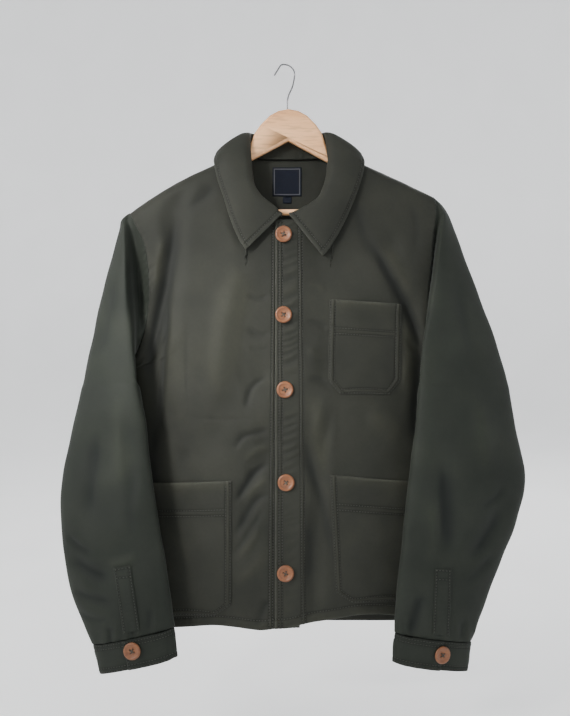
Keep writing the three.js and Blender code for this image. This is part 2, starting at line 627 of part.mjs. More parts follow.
// The neckline at a place from 0, the centre front, over 1, the shoulder seam, to 2, the centre back,
// and the way from there towards the neck.
function neckAt(side, at) {
  const neckEnd = { x: NECK_X, z: shoulderZ(side, NECK_X) };
  const front = curveOf([...FRONT_NECKLINE.slice(1), neckEnd]);
  const back = curveOf([neckEnd, ...BACK_NECKLINE]);
  const onFront = at <= 1;
  const share = onFront ? at : at - 1;
  const point = (onFront ? front : back).getPointAt(share);
  const tangent = front.getTangentAt(Math.min(at, 1));
  const inFront = v3(-tangent.z, 0, tangent.x);
  const inwards = onFront ? inFront : inFront.lerp(v3(0, -1, -0.15), smoothstep(share, 0, 0.5)).normalize();
  const y = bodyY(onFront ? "front" : "back", side.sign * point.x, point.z);
  return {
    point: v3(side.sign * point.x, y, point.z),
    inwards: v3(side.sign * inwards.x, inwards.y, inwards.z),
  };
}

// One section of the collar, from its seam up the stand, over the roll and down the leaf to its edge.
function collarSection(side, row, sideways) {
  const { point, inwards } = neckAt(side, row.at);
  const away = COLLAR_CLOTH + (row.at > 1 ? CLOTH : 0) + COLLAR_SEAM;
  const seam = point.clone().addScaledVector(inwards, away);
  const roll = v3(side.sign * row.rollX, row.rollY, row.rollZ);
  const edge = v3(side.sign * row.edgeX, row.edgeY, row.edgeZ);
  const leaf = edge.clone().sub(roll);
  const bow = sideways.clone().cross(leaf).normalize();
  const onLeaf = (share, rise) =>
    roll.clone().addScaledVector(leaf, share).addScaledVector(bow, rise * row.arch);
  const stand = [seam, seam.clone().lerp(roll, 0.65)];
  const keys = [...stand, roll, onLeaf(0.1, 0.6), onLeaf(0.5, 1), onLeaf(0.85, 0.7), edge];
  return along(keys, [1, 1, 1, 2, 2, 2]);
}

const COLLAR_COLUMNS = 13;
const COLLAR_KEYS = ["at", "rollX", "rollY", "rollZ", "edgeX", "edgeY", "edgeZ", "arch"];

function collarGrid() {
  const half = (name) => {
    const rows = [...COLLAR[name], COLLAR_BACK].map((row, step) => ({ ...row, step }));
    const pick = (step) =>
      Object.fromEntries(COLLAR_KEYS.map((key) => [key, column(rows, "step", key, step)]));
    return Array.from({ length: COLLAR_COLUMNS + 1 }, (_, i) => {
      const step = (i * (rows.length - 1)) / COLLAR_COLUMNS;
      const before = pick(Math.max(step - 0.5, 0));
      const after = pick(Math.min(step + 0.5, rows.length - 1));
      const side = SIDES[name];
      const sideways = v3(
        side.sign * (after.rollX - before.rollX),
        after.rollY - before.rollY,
        after.rollZ - before.rollZ,
      ).normalize();
      if (side.sign > 0) sideways.negate();
      if (i === COLLAR_COLUMNS) sideways.set(1, 0, 0);
      return collarSection(side, pick(step), sideways);
    });
  };
  return [...half("left"), ...half("right").reverse().slice(1)];
}

// Facets of a grid of points, two for each cell along its shorter diagonal.
function facetsOf(grid, turned) {
  const facets = [];
  for (let i = 0; i + 1 < grid.length; i += 1) {
    for (let j = 0; j + 1 < grid[i].length; j += 1) {
      const [a, b, c, d] = [grid[i][j], grid[i][j + 1], grid[i + 1][j + 1], grid[i + 1][j]];
      const first = [[a, b, c], [a, c, d]];
      const second = [[a, b, d], [b, c, d]];
      const cell = a.distanceTo(c) < b.distanceTo(d) ? first : second;
      cell.forEach((facet) => facets.push(turned ? facet : facet.toReversed()));
    }
  }
  return facets;
}

const SAME_POINTS = 500; // points are one where they round to the same 1/500 mm
const STEEPEST_MITRE = 0.72; // how far a sharp fold's inner side may run out to keep the cloth's wall

// Sews panels along the points they share and gives each its wall: the grid is the wall's outer face,
// its inner face lies a cloth's thickness behind, and a seam parts each panel from the next.
function sew(panels, wall, seam) {
  const places = new Map();
  const points = [];
  const placeOf = (point) => {
    const key = point.toArray().map((value) => Math.round(value * SAME_POINTS)).join();
    if (!places.has(key)) {
      places.set(key, points.length);
      points.push(point);
    }
    return places.get(key);
  };
  const sewn = panels.map(({ name, grid, turned }) => ({
    name,
    facets: facetsOf(grid, turned)
      .map((facet) => facet.map(placeOf))
      .filter(([a, b, c]) => a !== b && b !== c && c !== a),
  }));
  const faceNormal = ([a, b, c]) => {
    const [p, q, r] = [points[a], points[b], points[c]];
    return q.clone().sub(p).cross(r.clone().sub(p)).normalize();
  };
  const normals = points.map(() => v3(0, 0, 0));
  sewn.forEach(({ facets }) =>
    facets.forEach((facet) => {
      const normal = faceNormal(facet);
      facet.forEach((place, k) => {
        const [p, q, r] = [place, facet[(k + 1) % 3], facet[(k + 2) % 3]].map((i) => points[i]);
        normals[place].addScaledVector(normal, q.clone().sub(p).angleTo(r.clone().sub(p)));
      });
    }),
  );
  normals.forEach((normal) => normal.normalize());
  return sewn.map(({ name, facets }) => {
    const edges = new Map();
    const steepest = new Map();
    facets.forEach((facet) => {
      const normal = faceNormal(facet);
      facet.forEach((a, k) => {
        const b = facet[(k + 1) % 3];
        steepest.set(a, Math.min(steepest.get(a) ?? 1, normal.dot(normals[a])));
        if (!edges.delete(b + "," + a)) edges.set(a + "," + b, { a, b, normal });
      });
    });
    const inwards = new Map();
    edges.forEach(({ a, b, normal }) => {
      const way = normal.clone().cross(points[b].clone().sub(points[a])).normalize();
      [a, b].forEach((place) => inwards.set(place, (inwards.get(place) ?? v3(0, 0, 0)).add(way)));
    });
    const used = [...new Set(facets.flat())];
    const at = new Map(used.map((place, i) => [place, i]));
    const outer = used.map((place) => {
      const shift = inwards.get(place);
      if (!shift) return points[place];
      return points[place].clone().addScaledVector(shift, seam / Math.max(shift.lengthSq(), 0.3));
    });
    const inner = used.map((place, i) => {
      const mitre = clamp(steepest.get(place), STEEPEST_MITRE, 1);
      return outer[i].clone().addScaledVector(normals[place], -wall / mitre);
    });
    const index = [];
    facets.forEach((facet) => {
      const [a, b, c] = facet.map((place) => at.get(place));
      index.push(a, b, c, used.length + c, used.length + b, used.length + a);
    });
    edges.forEach(({ a, b }) => {
      const [p, q] = [at.get(a), at.get(b)];
      const [below, ahead] = [used.length + p, used.length + q];
      if (a < b) index.push(q, p, ahead, p, below, ahead);
      else index.push(q, p, below, q, below, ahead);
    });
    const skin = facets.map((facet) => facet.map((place) => outer[at.get(place)]));
    const lining = facets.map((facet) => facet.map((place) => inner[at.get(place)]));
    return { name, geometry: geometryOf([...outer, ...inner], index), skin, lining };
  });
}

function geometryOf(points, index) {
  const geometry = new THREE.BufferGeometry();
  const places = points.flatMap((point) => point.toArray());
  geometry.setAttribute("position", new THREE.Float32BufferAttribute(places, 3));
  geometry.setIndex(index);
  return geometry;
}

// The Y where a line through (x, z) meets a set of facets, the smallest for "front" and the largest
// for "back"; null off their edge.
function meet(facets, x, z, face) {
  const least = 1e-6; // share of a facet, so that a point on an edge is met
  let found = null;
  facets.forEach(([a, b, c]) => {
    const area = (b.x - a.x) * (c.z - a.z) - (c.x - a.x) * (b.z - a.z);
    if (Math.abs(area) < least) return;
    const s = ((x - a.x) * (c.z - a.z) - (c.x - a.x) * (z - a.z)) / area;
    const t = ((b.x - a.x) * (z - a.z) - (x - a.x) * (b.z - a.z)) / area;
    if (s < -least || t < -least || s + t > 1 + least) return;
    const y = a.y + s * (b.y - a.y) + t * (c.y - a.y);
    if (found === null || (face === "front" ? y < found : y > found)) found = y;
  });
  return found;
}

// A patch sewn on the front of a panel: its rows are spread over the panel and moved out from it.
function patch(name, facets, rows, { across, down, wall, gap }) {
  const grid = [];
  rows.slice(1).forEach((lower, k) => {
    const upper = rows[k];
    const steps = down[k];
    for (let i = k === 0 ? 0 : 1; i <= steps; i += 1) {
      const t = i / steps;
      grid.push(
        Array.from({ length: across + 1 }, (_, j) => {
          const u = j / across;
          const x = lerp(lerp(upper.leftX, lower.leftX, t), lerp(upper.rightX, lower.rightX, t), u);
          const z = lerp(lerp(upper.leftZ, lower.leftZ, t), lerp(upper.rightZ, lower.rightZ, t), u);
          return v3(x, meet(facets, x, z, "front") - gap - wall, z);
        }),
      );
    }
  });
  return sew([{ name, grid, turned: false }], wall, 0)[0];
}

function closedSolid(geometry) {
  const bare = geometry.clone();
  bare.deleteAttribute("normal");
  bare.deleteAttribute("uv");
  const merged = mergeVertices(bare, 1e-4);
  return new wasm.Manifold(
    new wasm.Mesh({
      numProp: 3,
      vertProperties: merged.attributes.position.array,
      triVerts: new Uint32Array(merged.index.array),
    }),
  );
}

function geometryFrom(solid) {
  const { vertProperties, triVerts } = solid.getMesh();
  const geometry = new THREE.BufferGeometry();
  geometry.setAttribute("position", new THREE.BufferAttribute(vertProperties, 3));
  geometry.setIndex(new THREE.BufferAttribute(triVerts, 1));
  return geometry;
}

// A turned wooden button with a raised rim, a dished middle and four holes, facing -Y from y = 0.
function buttonGeometry() {
  const profile = [
    [0, 0],
    [BUTTON_RADIUS - 1.6, 0],
    [BUTTON_RADIUS, 1.5],
    [BUTTON_RADIUS, 2.8],
    [BUTTON_RADIUS - 1.4, BUTTON_HIGH],
    [BUTTON_RADIUS - 3.1, 3.9],
    [BUTTON_RADIUS - 4.6, 2.6],
    [0, 2.4],
  ].map(([radius, height]) => new THREE.Vector2(radius, height));
  const disc = closedSolid(new THREE.LatheGeometry(profile, 14));
  const drilled = [45, 135, 225, 315].reduce((solid, degrees) => {
    const angle = THREE.MathUtils.degToRad(degrees);
    const drill = new THREE.CylinderGeometry(BUTTON_HOLE_RADIUS, BUTTON_HOLE_RADIUS, 3 * BUTTON_HIGH, 6);
    drill.translate(BUTTON_HOLE_OUT * Math.cos(angle), 0, BUTTON_HOLE_OUT * Math.sin(angle));
    return solid.subtract(closedSolid(drill));
  }, disc);
  return geometryFrom(drilled).rotateX(Math.PI);
}

// The round trouser bar, or with a clearance the room for it in the arms.
function barGeometry(clearance) {
  const radius = BAR_RADIUS + clearance;
  const bar = new THREE.CylinderGeometry(radius, radius, 2 * (BAR_HALF + clearance), 12);
  return bar.rotateZ(Math.PI / 2).translate(0, 0, BAR_Z);
}

// The wooden part: a dome with two arms, each with a socket for the end of the trouser bar.
function hangerGeometry() {
  const armTop = ARM_STEPS.map((x) => ({
    x,
    z: Math.min(shoulderZ(SIDES.left, x), shoulderZ(SIDES.right, x)) - HANGER_DROP,
  }));
  const half = [...HANGER_DOME, ...armTop, HANGER_TIP, ...HANGER_UNDERSIDE];
  const centred = ({ x, z }, sign) => {
    const centreX = HANGER_CENTRE_X * (1 - smoothstep(x, ...HANGER_CENTRING));
    return new THREE.Vector2(centreX + sign * x, z);
  };
  const rightHalf = half.map((point) => centred(point, 1));
  const leftHalf = half.slice(1, -1).map((point) => centred(point, -1)).reverse();
  const outline = new THREE.Shape([...rightHalf, ...leftHalf]);
  const board = new THREE.ExtrudeGeometry(outline, {
    depth: HANGER_THICK - 2 * HANGER_BEVEL,
    bevelThickness: HANGER_BEVEL,
    bevelSize: HANGER_BEVEL,
    bevelOffset: -HANGER_BEVEL,
    bevelSegments: 1,
    steps: 1,
  });
  board.translate(0, 0, HANGER_BEVEL - HANGER_THICK / 2).rotateX(Math.PI / 2);
  return geometryFrom(closedSolid(board).subtract(closedSolid(barGeometry(BAR_FIT))));
}

function hookGeometry() {
  const extrudePath = smooth(HOOK.map(({ x, z }) => v3(x, -HOOK_TURN * (x - HOOK[0].x), z)));
  const section = new THREE.Shape().absarc(0, 0, WIRE_RADIUS, 0, 2 * Math.PI);
  const wire = { steps: 30, extrudePath, bevelEnabled: false, curveSegments: 4 };
  return new THREE.ExtrudeGeometry(section, wire);
}

const group = new THREE.Group();

function add(name, geometry, color, { roughness = 0.9, metalness = 0 } = {}) {
  const mesh = new THREE.Mesh(geometry, new THREE.MeshStandardMaterial({ color, roughness, metalness }));
  mesh.name = name;
  group.add(mesh);
  return mesh;
}

const frontGrids = { left: frontGrid(SIDES.left), right: frontGrid(SIDES.right) };
const back = backGrid();
const skin = sew(
  [
    { name: "front_under", grid: frontGrids.left, turned: true },
    { name: "front_over", grid: frontGrids.right, turned: false },
    { name: "back", grid: back, turned: true },
    { name: "sleeve_left", grid: sleeveGrid("left", frontGrids.left, back), turned: true },
    { name: "sleeve_right", grid: sleeveGrid("right", frontGrids.right, back), turned: false },
  ],
  CLOTH,
  SEAM,
);
const panel = Object.fromEntries(skin.map((piece) => [piece.name, piece]));
skin.forEach(({ name, geometry }) => {
  add(name, geometry, name.startsWith("sleeve") ? COLORS.sleeve : COLORS.cloth);
});

const cuff = {};
["left", "right"].forEach((name) => {
  const band = { name: "cuff_" + name, grid: cuffGrid(name), turned: name === "left" };
  [cuff[name]] = sew([band], CUFF_CLOTH, 0);
  add(band.name, cuff[name].geometry, COLORS.sleeve);
});

const [collar] = sew([{ name: "collar", grid: collarGrid(), turned: true }], COLLAR_CLOTH, 0);
add(collar.name, collar.geometry, COLORS.cloth);

[
  ["pocket_chest", panel.front_over.skin, CHEST_POCKET, { across: 6, down: [7, 2] }],
  ["pocket_lower_left", panel.front_under.skin, LEFT_POCKET, { across: 8, down: [9, 2] }],
  ["pocket_lower_right", panel.front_over.skin, RIGHT_POCKET, { across: 8, down: [9, 2] }],
  ["sleeve_strap_left", panel.sleeve_left.skin, LEFT_STRAP, { across: 2, down: [6] }],
  ["sleeve_strap_right", panel.sleeve_right.skin, RIGHT_STRAP, { across: 2, down: [6] }],
].forEach(([name, facets, rows, spread]) => {
  const piece = patch(name, facets, rows, { ...spread, wall: POCKET_CLOTH, gap: LIFT });
  add(name, piece.geometry, COLORS.pocket);
});

[
  ["neck_label", NECK_LABEL, { across: 3, down: [3] }],
  ["size_tab", SIZE_TAB, { across: 1, down: [1] }],
].forEach(([name, rows, spread]) => {
  const piece = patch(name, panel.back.lining, rows, { ...spread, wall: LABEL_CLOTH, gap: LAY });
  add(name, piece.geometry, COLORS.label);
});

// A button lies flat on the cloth that it fastens, clear of it all round its rim.
function addButton(name, facets, { x, z }) {
  const rim = Array.from({ length: 12 }, (_, k) => {
    const angle = (k * Math.PI) / 6;
    const [rimX, rimZ] = [x + BUTTON_RADIUS * Math.cos(angle), z + BUTTON_RADIUS * Math.sin(angle)];
    return meet(facets, rimX, rimZ, "front");
  });
  const seat = Math.min(meet(facets, x, z, "front"), ...rim.filter((y) => y !== null));
  const mesh = add(name, buttonGeometry(), COLORS.button, { roughness: 0.5 });
  mesh.position.set(x, seat - BUTTON_GAP, z);
}

FRONT_BUTTONS.forEach((place, k) => addButton("button_" + (k + 1), panel.front_over.skin, place));
Object.entries(CUFF_BUTTONS).forEach(([name, place]) => {
  addButton("cuff_button_" + name, cuff[name].skin, place);
});

add("hanger_wood", hangerGeometry(), COLORS.wood, { roughness: 0.45 });
add("hanger_bar", barGeometry(0), COLORS.wood, { roughness: 0.45 });
add("hanger_hook", hookGeometry(), COLORS.steel, { roughness: 0.3, metalness: 1 });

export default group;
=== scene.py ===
# %% [markdown]
# # A chore jacket on its hanger
# The real thing is a short work jacket of dark olive moleskin: two fronts, a back, two sleeves with
# buttoned cuffs, a turned-down collar and patch pockets, hung on a flat wooden hanger.
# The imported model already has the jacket's form as plain walls of cloth. This script reads that form,
# lays a finer cloth on it, presses in the small folds, and adds stitching, buttons, wood and light.

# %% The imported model
import math

import bmesh
import bpy
import numpy as np
from mathutils import Matrix, Vector
from mathutils.bvhtree import BVHTree
from mathutils.kdtree import KDTree


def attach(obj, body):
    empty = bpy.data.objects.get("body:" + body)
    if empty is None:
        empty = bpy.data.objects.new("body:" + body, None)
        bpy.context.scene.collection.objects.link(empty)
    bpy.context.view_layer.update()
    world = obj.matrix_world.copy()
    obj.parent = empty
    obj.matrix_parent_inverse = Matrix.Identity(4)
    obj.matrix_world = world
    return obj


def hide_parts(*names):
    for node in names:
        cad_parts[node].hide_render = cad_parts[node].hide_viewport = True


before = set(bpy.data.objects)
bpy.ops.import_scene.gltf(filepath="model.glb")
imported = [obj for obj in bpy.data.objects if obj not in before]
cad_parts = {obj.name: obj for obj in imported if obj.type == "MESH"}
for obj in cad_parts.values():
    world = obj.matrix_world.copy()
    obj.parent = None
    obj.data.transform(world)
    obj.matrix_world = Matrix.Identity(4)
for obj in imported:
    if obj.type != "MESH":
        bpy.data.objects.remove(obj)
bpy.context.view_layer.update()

MM = 0.001

# %% [markdown]
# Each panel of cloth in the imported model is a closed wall. A fine cloth is laid on its outer skin, so
# the rim and the lining come off first: a skin facet has the lining a cloth's thickness behind it, and
# a rim facet hasn't. The points of a skin lie in rows and columns, and a point's row is the number of
# steps from it to the top edge, so the table of points can be read back from the mesh.

# %% Reading a skin
WELD = 2e-5


def area_of(points, triangles):
    a, b, c = (points[[t[k] for t in triangles]] for k in range(3))
    return float(np.linalg.norm(np.cross(b - a, c - a), axis=1).sum() / 2)


def facing_of(points, triangles):
    a, b, c = (points[[t[k] for t in triangles]] for k in range(3))
    return np.cross(b - a, c - a).sum(0)


def parts_of(bm, wall, turn, bend):
    """The facets that no edge through the wall touches, in parts that join without a sharp bend. turn
    is how near to the surface's normal an edge lies that counts as running through the wall."""
    tree = BVHTree.FromBMesh(bm)
    normal_at = {}
    for face in bm.faces:
        start = face.calc_center_median() - face.normal * 1e-6
        place, normal, _, deep = tree.ray_cast(start, -face.normal, 1.5 * wall * MM)
        if place is not None and deep > 0.6 * wall * MM and normal.dot(face.normal) < -0.7:
            for vert in face.verts:
                normal_at[vert] = normal_at.get(vert, Vector()) + face.normal * face.calc_area()

    def through(edge):
        way = edge.verts[0].co - edge.verts[1].co
        known = [normal_at[vert].normalized() for vert in edge.verts if vert in normal_at]
        return way.length < 2 * wall * MM and any(abs(way.normalized().dot(n)) > turn for n in known)

    crossed = {edge for edge in bm.edges if through(edge)}
    left = {face for face in bm.faces if not any(edge in crossed for edge in face.edges)}
    parts = []
    while left:
        todo, part = [left.pop()], set()
        while todo:
            face = todo.pop()
            part.update(face.verts)
            for edge in face.edges:
                for other in edge.link_faces:
                    if other in left and edge.calc_face_angle(0) < bend:
                        left.remove(other)
                        todo.append(other)
        parts.append(part)
    return sorted(parts, key=len)[-2:]


BENDS = (4, 1.2, 0.9)
TURNS = (0.15, 0.3, 0.4, 0.55, 0.7)


def skins_of(bm, wall):
    """The points of the two skins. Each has half of all the points and as many facets as the other."""
    points = set(bm.verts)
    pairs = KDTree(len(points))
    for k, vert in enumerate(bm.verts):
        pairs.insert(vert.co, k)
    pairs.balance()
    bm.verts.ensure_lookup_table()

    def whole(part):
        return sum(all(vert in part for vert in face.verts) for face in bm.faces)

    def mended(part):
        """Where both points of a pair through the wall are in the part, the one that fits less well
        goes to the other."""
        part = set(part)
        for vert in bm.verts:
            other = bm.verts[pairs.find_n(vert.co, 2)[1][1]]
            if (vert.co - other.co).length < 1.5 * wall * MM and (vert in part) == (other in part):
                part = max((part ^ {vert}, part ^ {other}), key=lambda p: whole(p) + whole(points - p))
        return part

    found = [part for bend in BENDS for turn in TURNS for part in parts_of(bm, wall, turn, bend)]
    found = [part for part in found if 2 * len(part) == len(points)][:1]
    fits = [part for part in (*found, *map(mended, found))
            if whole(part) == whole(points - part) and is_panel(bm, part)]
    best = max(fits, key=whole)
    return best, points - best


def is_panel(bm, part):
    """Whether the rim has two facets for each edge of the part's border."""
    inner = [face for face in bm.faces if all(vert in part for vert in face.verts)]
    counts = {}
    for face in inner:
        for edge in face.edges:
            counts[edge] = counts.get(edge, 0) + 1
    border = sum(count == 1 for count in counts.values())
    return len(bm.faces) - 2 * len(inner) == 2 * border


def outer_skin(node, wall, facing=None):
    """The skin of a wall of cloth that faces a way, or else the larger one, which is the outside of a
    bend, as its points and triangles."""
    bm = bmesh.new()
    bm.from_mesh(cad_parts[node].data)
    bmesh.ops.remove_doubles(bm, verts=bm.verts, dist=WELD)
    bm.normal_update()
    skins = []
    for part in skins_of(bm, wall):
        used = {vert: k for k, vert in enumerate(part)}
        triangles = [[used[v] for v in face.verts] for face in bm.faces if all(v in used for v in face.verts)]
        skins.append((np.array([vert.co[:] for vert in used]), triangles))
    bm.free()
    if facing is None:
        return max(skins, key=lambda skin: area_of(*skin))
    return max(skins, key=lambda skin: facing_of(*skin) @ np.array(facing, float))


def neighbours_of(triangles, count):
    near = [set() for _ in range(count)]
    for a, b, c in triangles:
        near[a] |= {b, c}
        near[b] |= {a, c}
        near[c] |= {a, b}
    return near


def loops_of(triangles):
    """The closed lines of points round the edges of a skin."""
    directed = {(t[k], t[(k + 1) % 3]) for t in triangles for k in range(3)}
    ahead = {a: b for a, b in directed if (b, a) not in directed}
    loops = []
    while ahead:
        loop, point = [], next(iter(ahead))
        while point in ahead:
            loop.append(point)
            point = ahead.pop(point)
        loops.append(loop)
    return loops


def steps_from(near, start):
    steps = {point: 0 for point in start}
    todo = list(start)
    for point in todo:
        for other in near[point]:
            if other not in steps:
                steps[other] = steps[point] + 1
                todo.append(other)
    return steps


def side_between(loop, first, last, others):
    """The points of a loop from one corner to the next, the way that meets no other corner."""
    turned = loop[loop.index(first):] + loop[: loop.index(first)]
    way = turned[: turned.index(last) + 1]
    if any(point in way for point in others):
        back = turned[:1] + turned[:0:-1]
        way = back[: back.index(last) + 1]
    return way


def sharpest_corners(loop, at):
    """The four sharpest corners of a loop, as the ends of a long side and then of the opposite one."""
    before, after = at - np.roll(at, 1, 0), np.roll(at, -1, 0) - at
    cosine = (before * after).sum(1) / np.linalg.norm(before, axis=1) / np.linalg.norm(after, axis=1)
    a, b, c, d = (loop[k] for k in np.sort(np.argsort(cosine)[:4]))
    long_first = len(side_between(loop, a, b, [c, d])) > len(side_between(loop, a, d, [b, c]))
    return (a, b, d, c) if long_first else (a, d, b, c)


def panel_grid(node, wall, corners=None, facing=None):
    """The rows and columns of a panel's skin. corners are near its top left, top right, bottom left and
    bottom right corner, in millimetres; without them the four sharpest corners are taken."""
    points, triangles = outer_skin(node, wall, facing)
    near = neighbours_of(triangles, len(points))
    loop = max(loops_of(triangles), key=len)
    at = points[loop]
    if corners is None:
        found = sharpest_corners(loop, at)
    else:
        found = [loop[int(np.linalg.norm(at - np.array(goal) * MM, axis=1).argmin())] for goal in corners]
    row = steps_from(near, side_between(loop, found[0], found[1], found[2:]))
    column = steps_from(near, side_between(loop, found[0], found[2], [found[1], found[3]]))
    grid = np.full((max(row.values()) + 1, max(column.values()) + 1, 3), np.nan)
    for point in range(len(points)):
        grid[row[point], column[point]] = points[point]
    whole = np.isfinite(grid).all() and grid.shape[0] * grid.shape[1] == len(points)
    print(node, "skin of", grid.shape[0], "rows and", grid.shape[1], "columns", "" if whole else "NOT WHOLE")
    return grid / MM


def sleeve_grid(node, wall, tip):
    """The rows of a sleeve's skin, from the tip of the shoulder down. A row runs from the front of the
    armhole round the outside to the back of it, and is closed below the underarm."""
    points, triangles = outer_skin(node, wall)
    near = neighbours_of(triangles, len(points))
    start = int(np.linalg.norm(points - np.array(tip) * MM, axis=1).argmin())
    steps = steps_from(near, [start])
    rows = []
    for i in range(1, max(steps.values()) + 1):
        members = {point for point in steps if steps[point] == i}
        ends = [point for point in members if len(near[point] & members) == 1]
        chain = [min(ends or members, key=lambda point: points[point][1])]
        while onward := [point for point in near[chain[-1]] & members if point not in chain]:
            chain.append(onward[0])
        place = points[chain]
        if not ends:
            turns = [np.roll(way, k, 0) for way in (place, place[::-1]) for k in range(len(place))]
            turns = [np.vstack([turn, turn[:1]]) for turn in turns]
            place = min(turns, key=lambda turn: ((turn - rows[-1]) ** 2).sum())
        rows.append(place)
    sizes = {len(row) for row in rows}
    note = "" if len(sizes) == 1 else "NOT WHOLE"
    print(node, "skin of", len(rows) + 1, "rows and", sizes, "columns", note)
    return np.array([np.repeat(points[start][None], len(rows[0]), 0)] + rows) / MM


# %% [markdown]
# Cloth has no facets, so a smooth curve runs through each row and column of those points, and the fine
# cloth is sampled from it. The samples lie close together along edges and stitch lines, where cloth has
# its smallest shapes, and wider apart in between. Everything from here on is in millimetres.

# %% Finer cloth
def smooth_down(grid, steps, closed=None):
    """Points on smooth curves down the columns of a grid, with a number of steps to each cell."""
    before, after = 2 * grid[:1] - grid[1:2], 2 * grid[-1:] - grid[-2:-1]
    if closed is not None:
        before[:, closed], after[:, closed] = grid[-2:-1, closed], grid[1:2, closed]
    padded = np.concatenate([before, grid, after])
    a, b, c, d = (x[:, None] for x in (padded[:-3], padded[1:-2], padded[2:-1], padded[3:]))
    t = (np.arange(steps) / steps)[None, :, None, None]
    curve = 0.5 * (2 * b + (c - a) * t + (2 * a - 5 * b + 4 * c - d) * t**2 + (3 * b - a - 3 * c + d) * t**3)
    return np.concatenate([curve.reshape(-1, *grid.shape[1:]), grid[-1:]])


def lengths_down(grid):
    steps = np.linalg.norm(np.diff(grid, axis=0), axis=2)
    return np.vstack([np.zeros(grid.shape[1]), np.cumsum(steps, axis=0)])


def spaced_down(grid, first, last, step, together):
    """The grid with rows at set distances from its first and last row, and about a step apart between.
    together spaces all columns alike, by their mean length."""
    lengths = lengths_down(grid)
    if together:
        lengths = np.repeat(lengths.mean(1, keepdims=True), grid.shape[1], 1)
    first, last = np.array(first, float), np.array(last, float)
    room = lengths[-1].max() - first[-1] - last[-1]
    share = np.arange(1, max(round(room / step), 2)) / max(round(room / step), 2)
    columns = []
    for j in range(grid.shape[1]):
        total = lengths[-1, j]
        fit = min(1.0, 0.8 * total / max(first[-1] + last[-1], 1e-9))
        low, high = first * fit, total - last[::-1] * fit
        at = np.concatenate([low, low[-1] + share * (high[0] - low[-1]), high])
        columns.append(np.stack([np.interp(at, lengths[:, j], grid[:, j, k]) for k in range(3)], axis=1))
    return np.stack(columns, axis=1)


def turned(grid):
    return grid.transpose(1, 0, 2)


def fine_grid(grid, down, across, curved=True, together=False):
    """A fine grid of points; down and across are (first, last, step)."""
    if curved:
        grid = smooth_down(grid, 10)
    grid = spaced_down(grid, *down, together)
    closed = np.linalg.norm(grid[:, 0] - grid[:, -1], axis=1) < 0.01
    if curved:
        grid = turned(smooth_down(turned(grid), 10, closed))
    return turned(spaced_down(turned(grid), *across, False)).copy()


EDGE = [0, 0.35, 0.9, 1.7, 2.8]


class Cloth:
    """A fine grid of points on a piece of cloth, with how far each is from the four edges."""

    def __init__(self, name, grid, facing=None):
        self.name = name
        self.at = grid
        self.top = lengths_down(grid)
        self.left = lengths_down(turned(grid)).T
        self.bottom = self.top[-1] - self.top
        self.right = self.left[:, -1:] - self.left
        self.open = np.linalg.norm(grid[:, 0] - grid[:, -1], axis=1) > 0.5
        self.relief = np.zeros(self.top.shape)
        self.wear = np.zeros(self.top.shape)
        self.out = 1.0
        outwards = grid - grid.mean(1, keepdims=True) if facing is None else np.array(facing, float)
        self.out = math.copysign(1.0, (self.normals() * outwards).sum())

    def normals(self):
        normal = np.cross(np.gradient(self.at, axis=0), np.gradient(self.at, axis=1))
        return self.out * normal / np.maximum(np.linalg.norm(normal, axis=2, keepdims=True), 1e-9)

    def lift(self, height, way=None):
        """Moves the cloth out by a height at each point, along its normal or another way."""
        self.at = self.at + height[..., None] * (self.normals() if way is None else np.array(way, float))
        self.relief = self.relief + height

    def line_across(self, far, ends=0.0):
        """The line that lies a distance down from the top edge, or up from the bottom edge where it is
        negative, as its points with the cloth's normals; its ends are cut off by a length."""
        return self._line(self.at, self.normals(), self.top, self.bottom, far, ends)

    def line_down(self, far, ends=0.0):
        """The same for a distance from the left edge, or from the right edge where it is negative."""
        return self._line(turned(self.at), turned(self.normals()), self.left.T, self.right.T, far, ends)

    @staticmethod
    def _line(at, normals, near, opposite, far, ends):
        both = np.concatenate([at, normals], axis=2)
        line = []
        for j, distance in enumerate(np.broadcast_to(np.asarray(far, float), (at.shape[1],))):
            known = near[:, j] if distance >= 0 else -opposite[:, j]
            line.append([np.interp(distance, known, both[:, j, k]) for k in range(6)])
        line = np.array(line)
        along = lengths_down(line[:, None, :3])[:, 0]
        return line[(along >= ends) & (along <= along[-1] - ends)]


# %% [markdown]
# Folds and puckers are worked one by one. A fold is a soft trough or ridge along a line, deeper in the
# middle than at its ends, and steeper on one side than on the other. Puckers are the small waves that a
# line of stitching draws up in the cloth beside it; no two are alike, so their size and spacing wander.

# %% Folds, puckers and stitch lines
def wander(along, length, seed):
    """A smooth random value from -1 to 1 that changes over a length."""
    table = np.random.default_rng(seed).uniform(-1, 1, 512)
    place = np.abs(along) / length + 3
    k = np.floor(place).astype(int) % 511
    t = place - np.floor(place)
    t = t * t * (3 - 2 * t)
    return table[k] * (1 - t) + table[k + 1] * t


def hills(points, size, seed):
    """Smooth random hills over a surface, from about -1 to 1."""
    rng = np.random.default_rng(seed)
    total = np.zeros(points.shape[:-1])
    for _ in range(7):
        way = rng.normal(size=3)
        way *= 2 * np.pi / size * rng.uniform(0.6, 1.5) / np.linalg.norm(way)
        total += np.sin(points @ way + rng.uniform(0, 6.28))
    return total / 3.2


def from_line(points, line):
    """How far each point is from a line seen from the front, how far along the line, and on which side
    of it; and the line's length."""
    best = np.full(points.shape[:-1], np.inf)
    along, side, start = np.zeros_like(best), np.zeros_like(best), 0.0
    for a, b in zip(line[:-1], line[1:], strict=True):
        d, size = b - a, np.linalg.norm(b - a)
        t = np.clip((points - a) @ d / size**2, 0, 1)
        off = points - a - t[..., None] * d
        far = np.linalg.norm(off, axis=-1)
        closer = far < best
        best = np.where(closer, far, best)
        along = np.where(closer, start + t * size, along)
        side = np.where(closer, np.sign(d[0] * off[..., 1] - d[1] * off[..., 0]), side)
        start += size
    return best, along, side, start


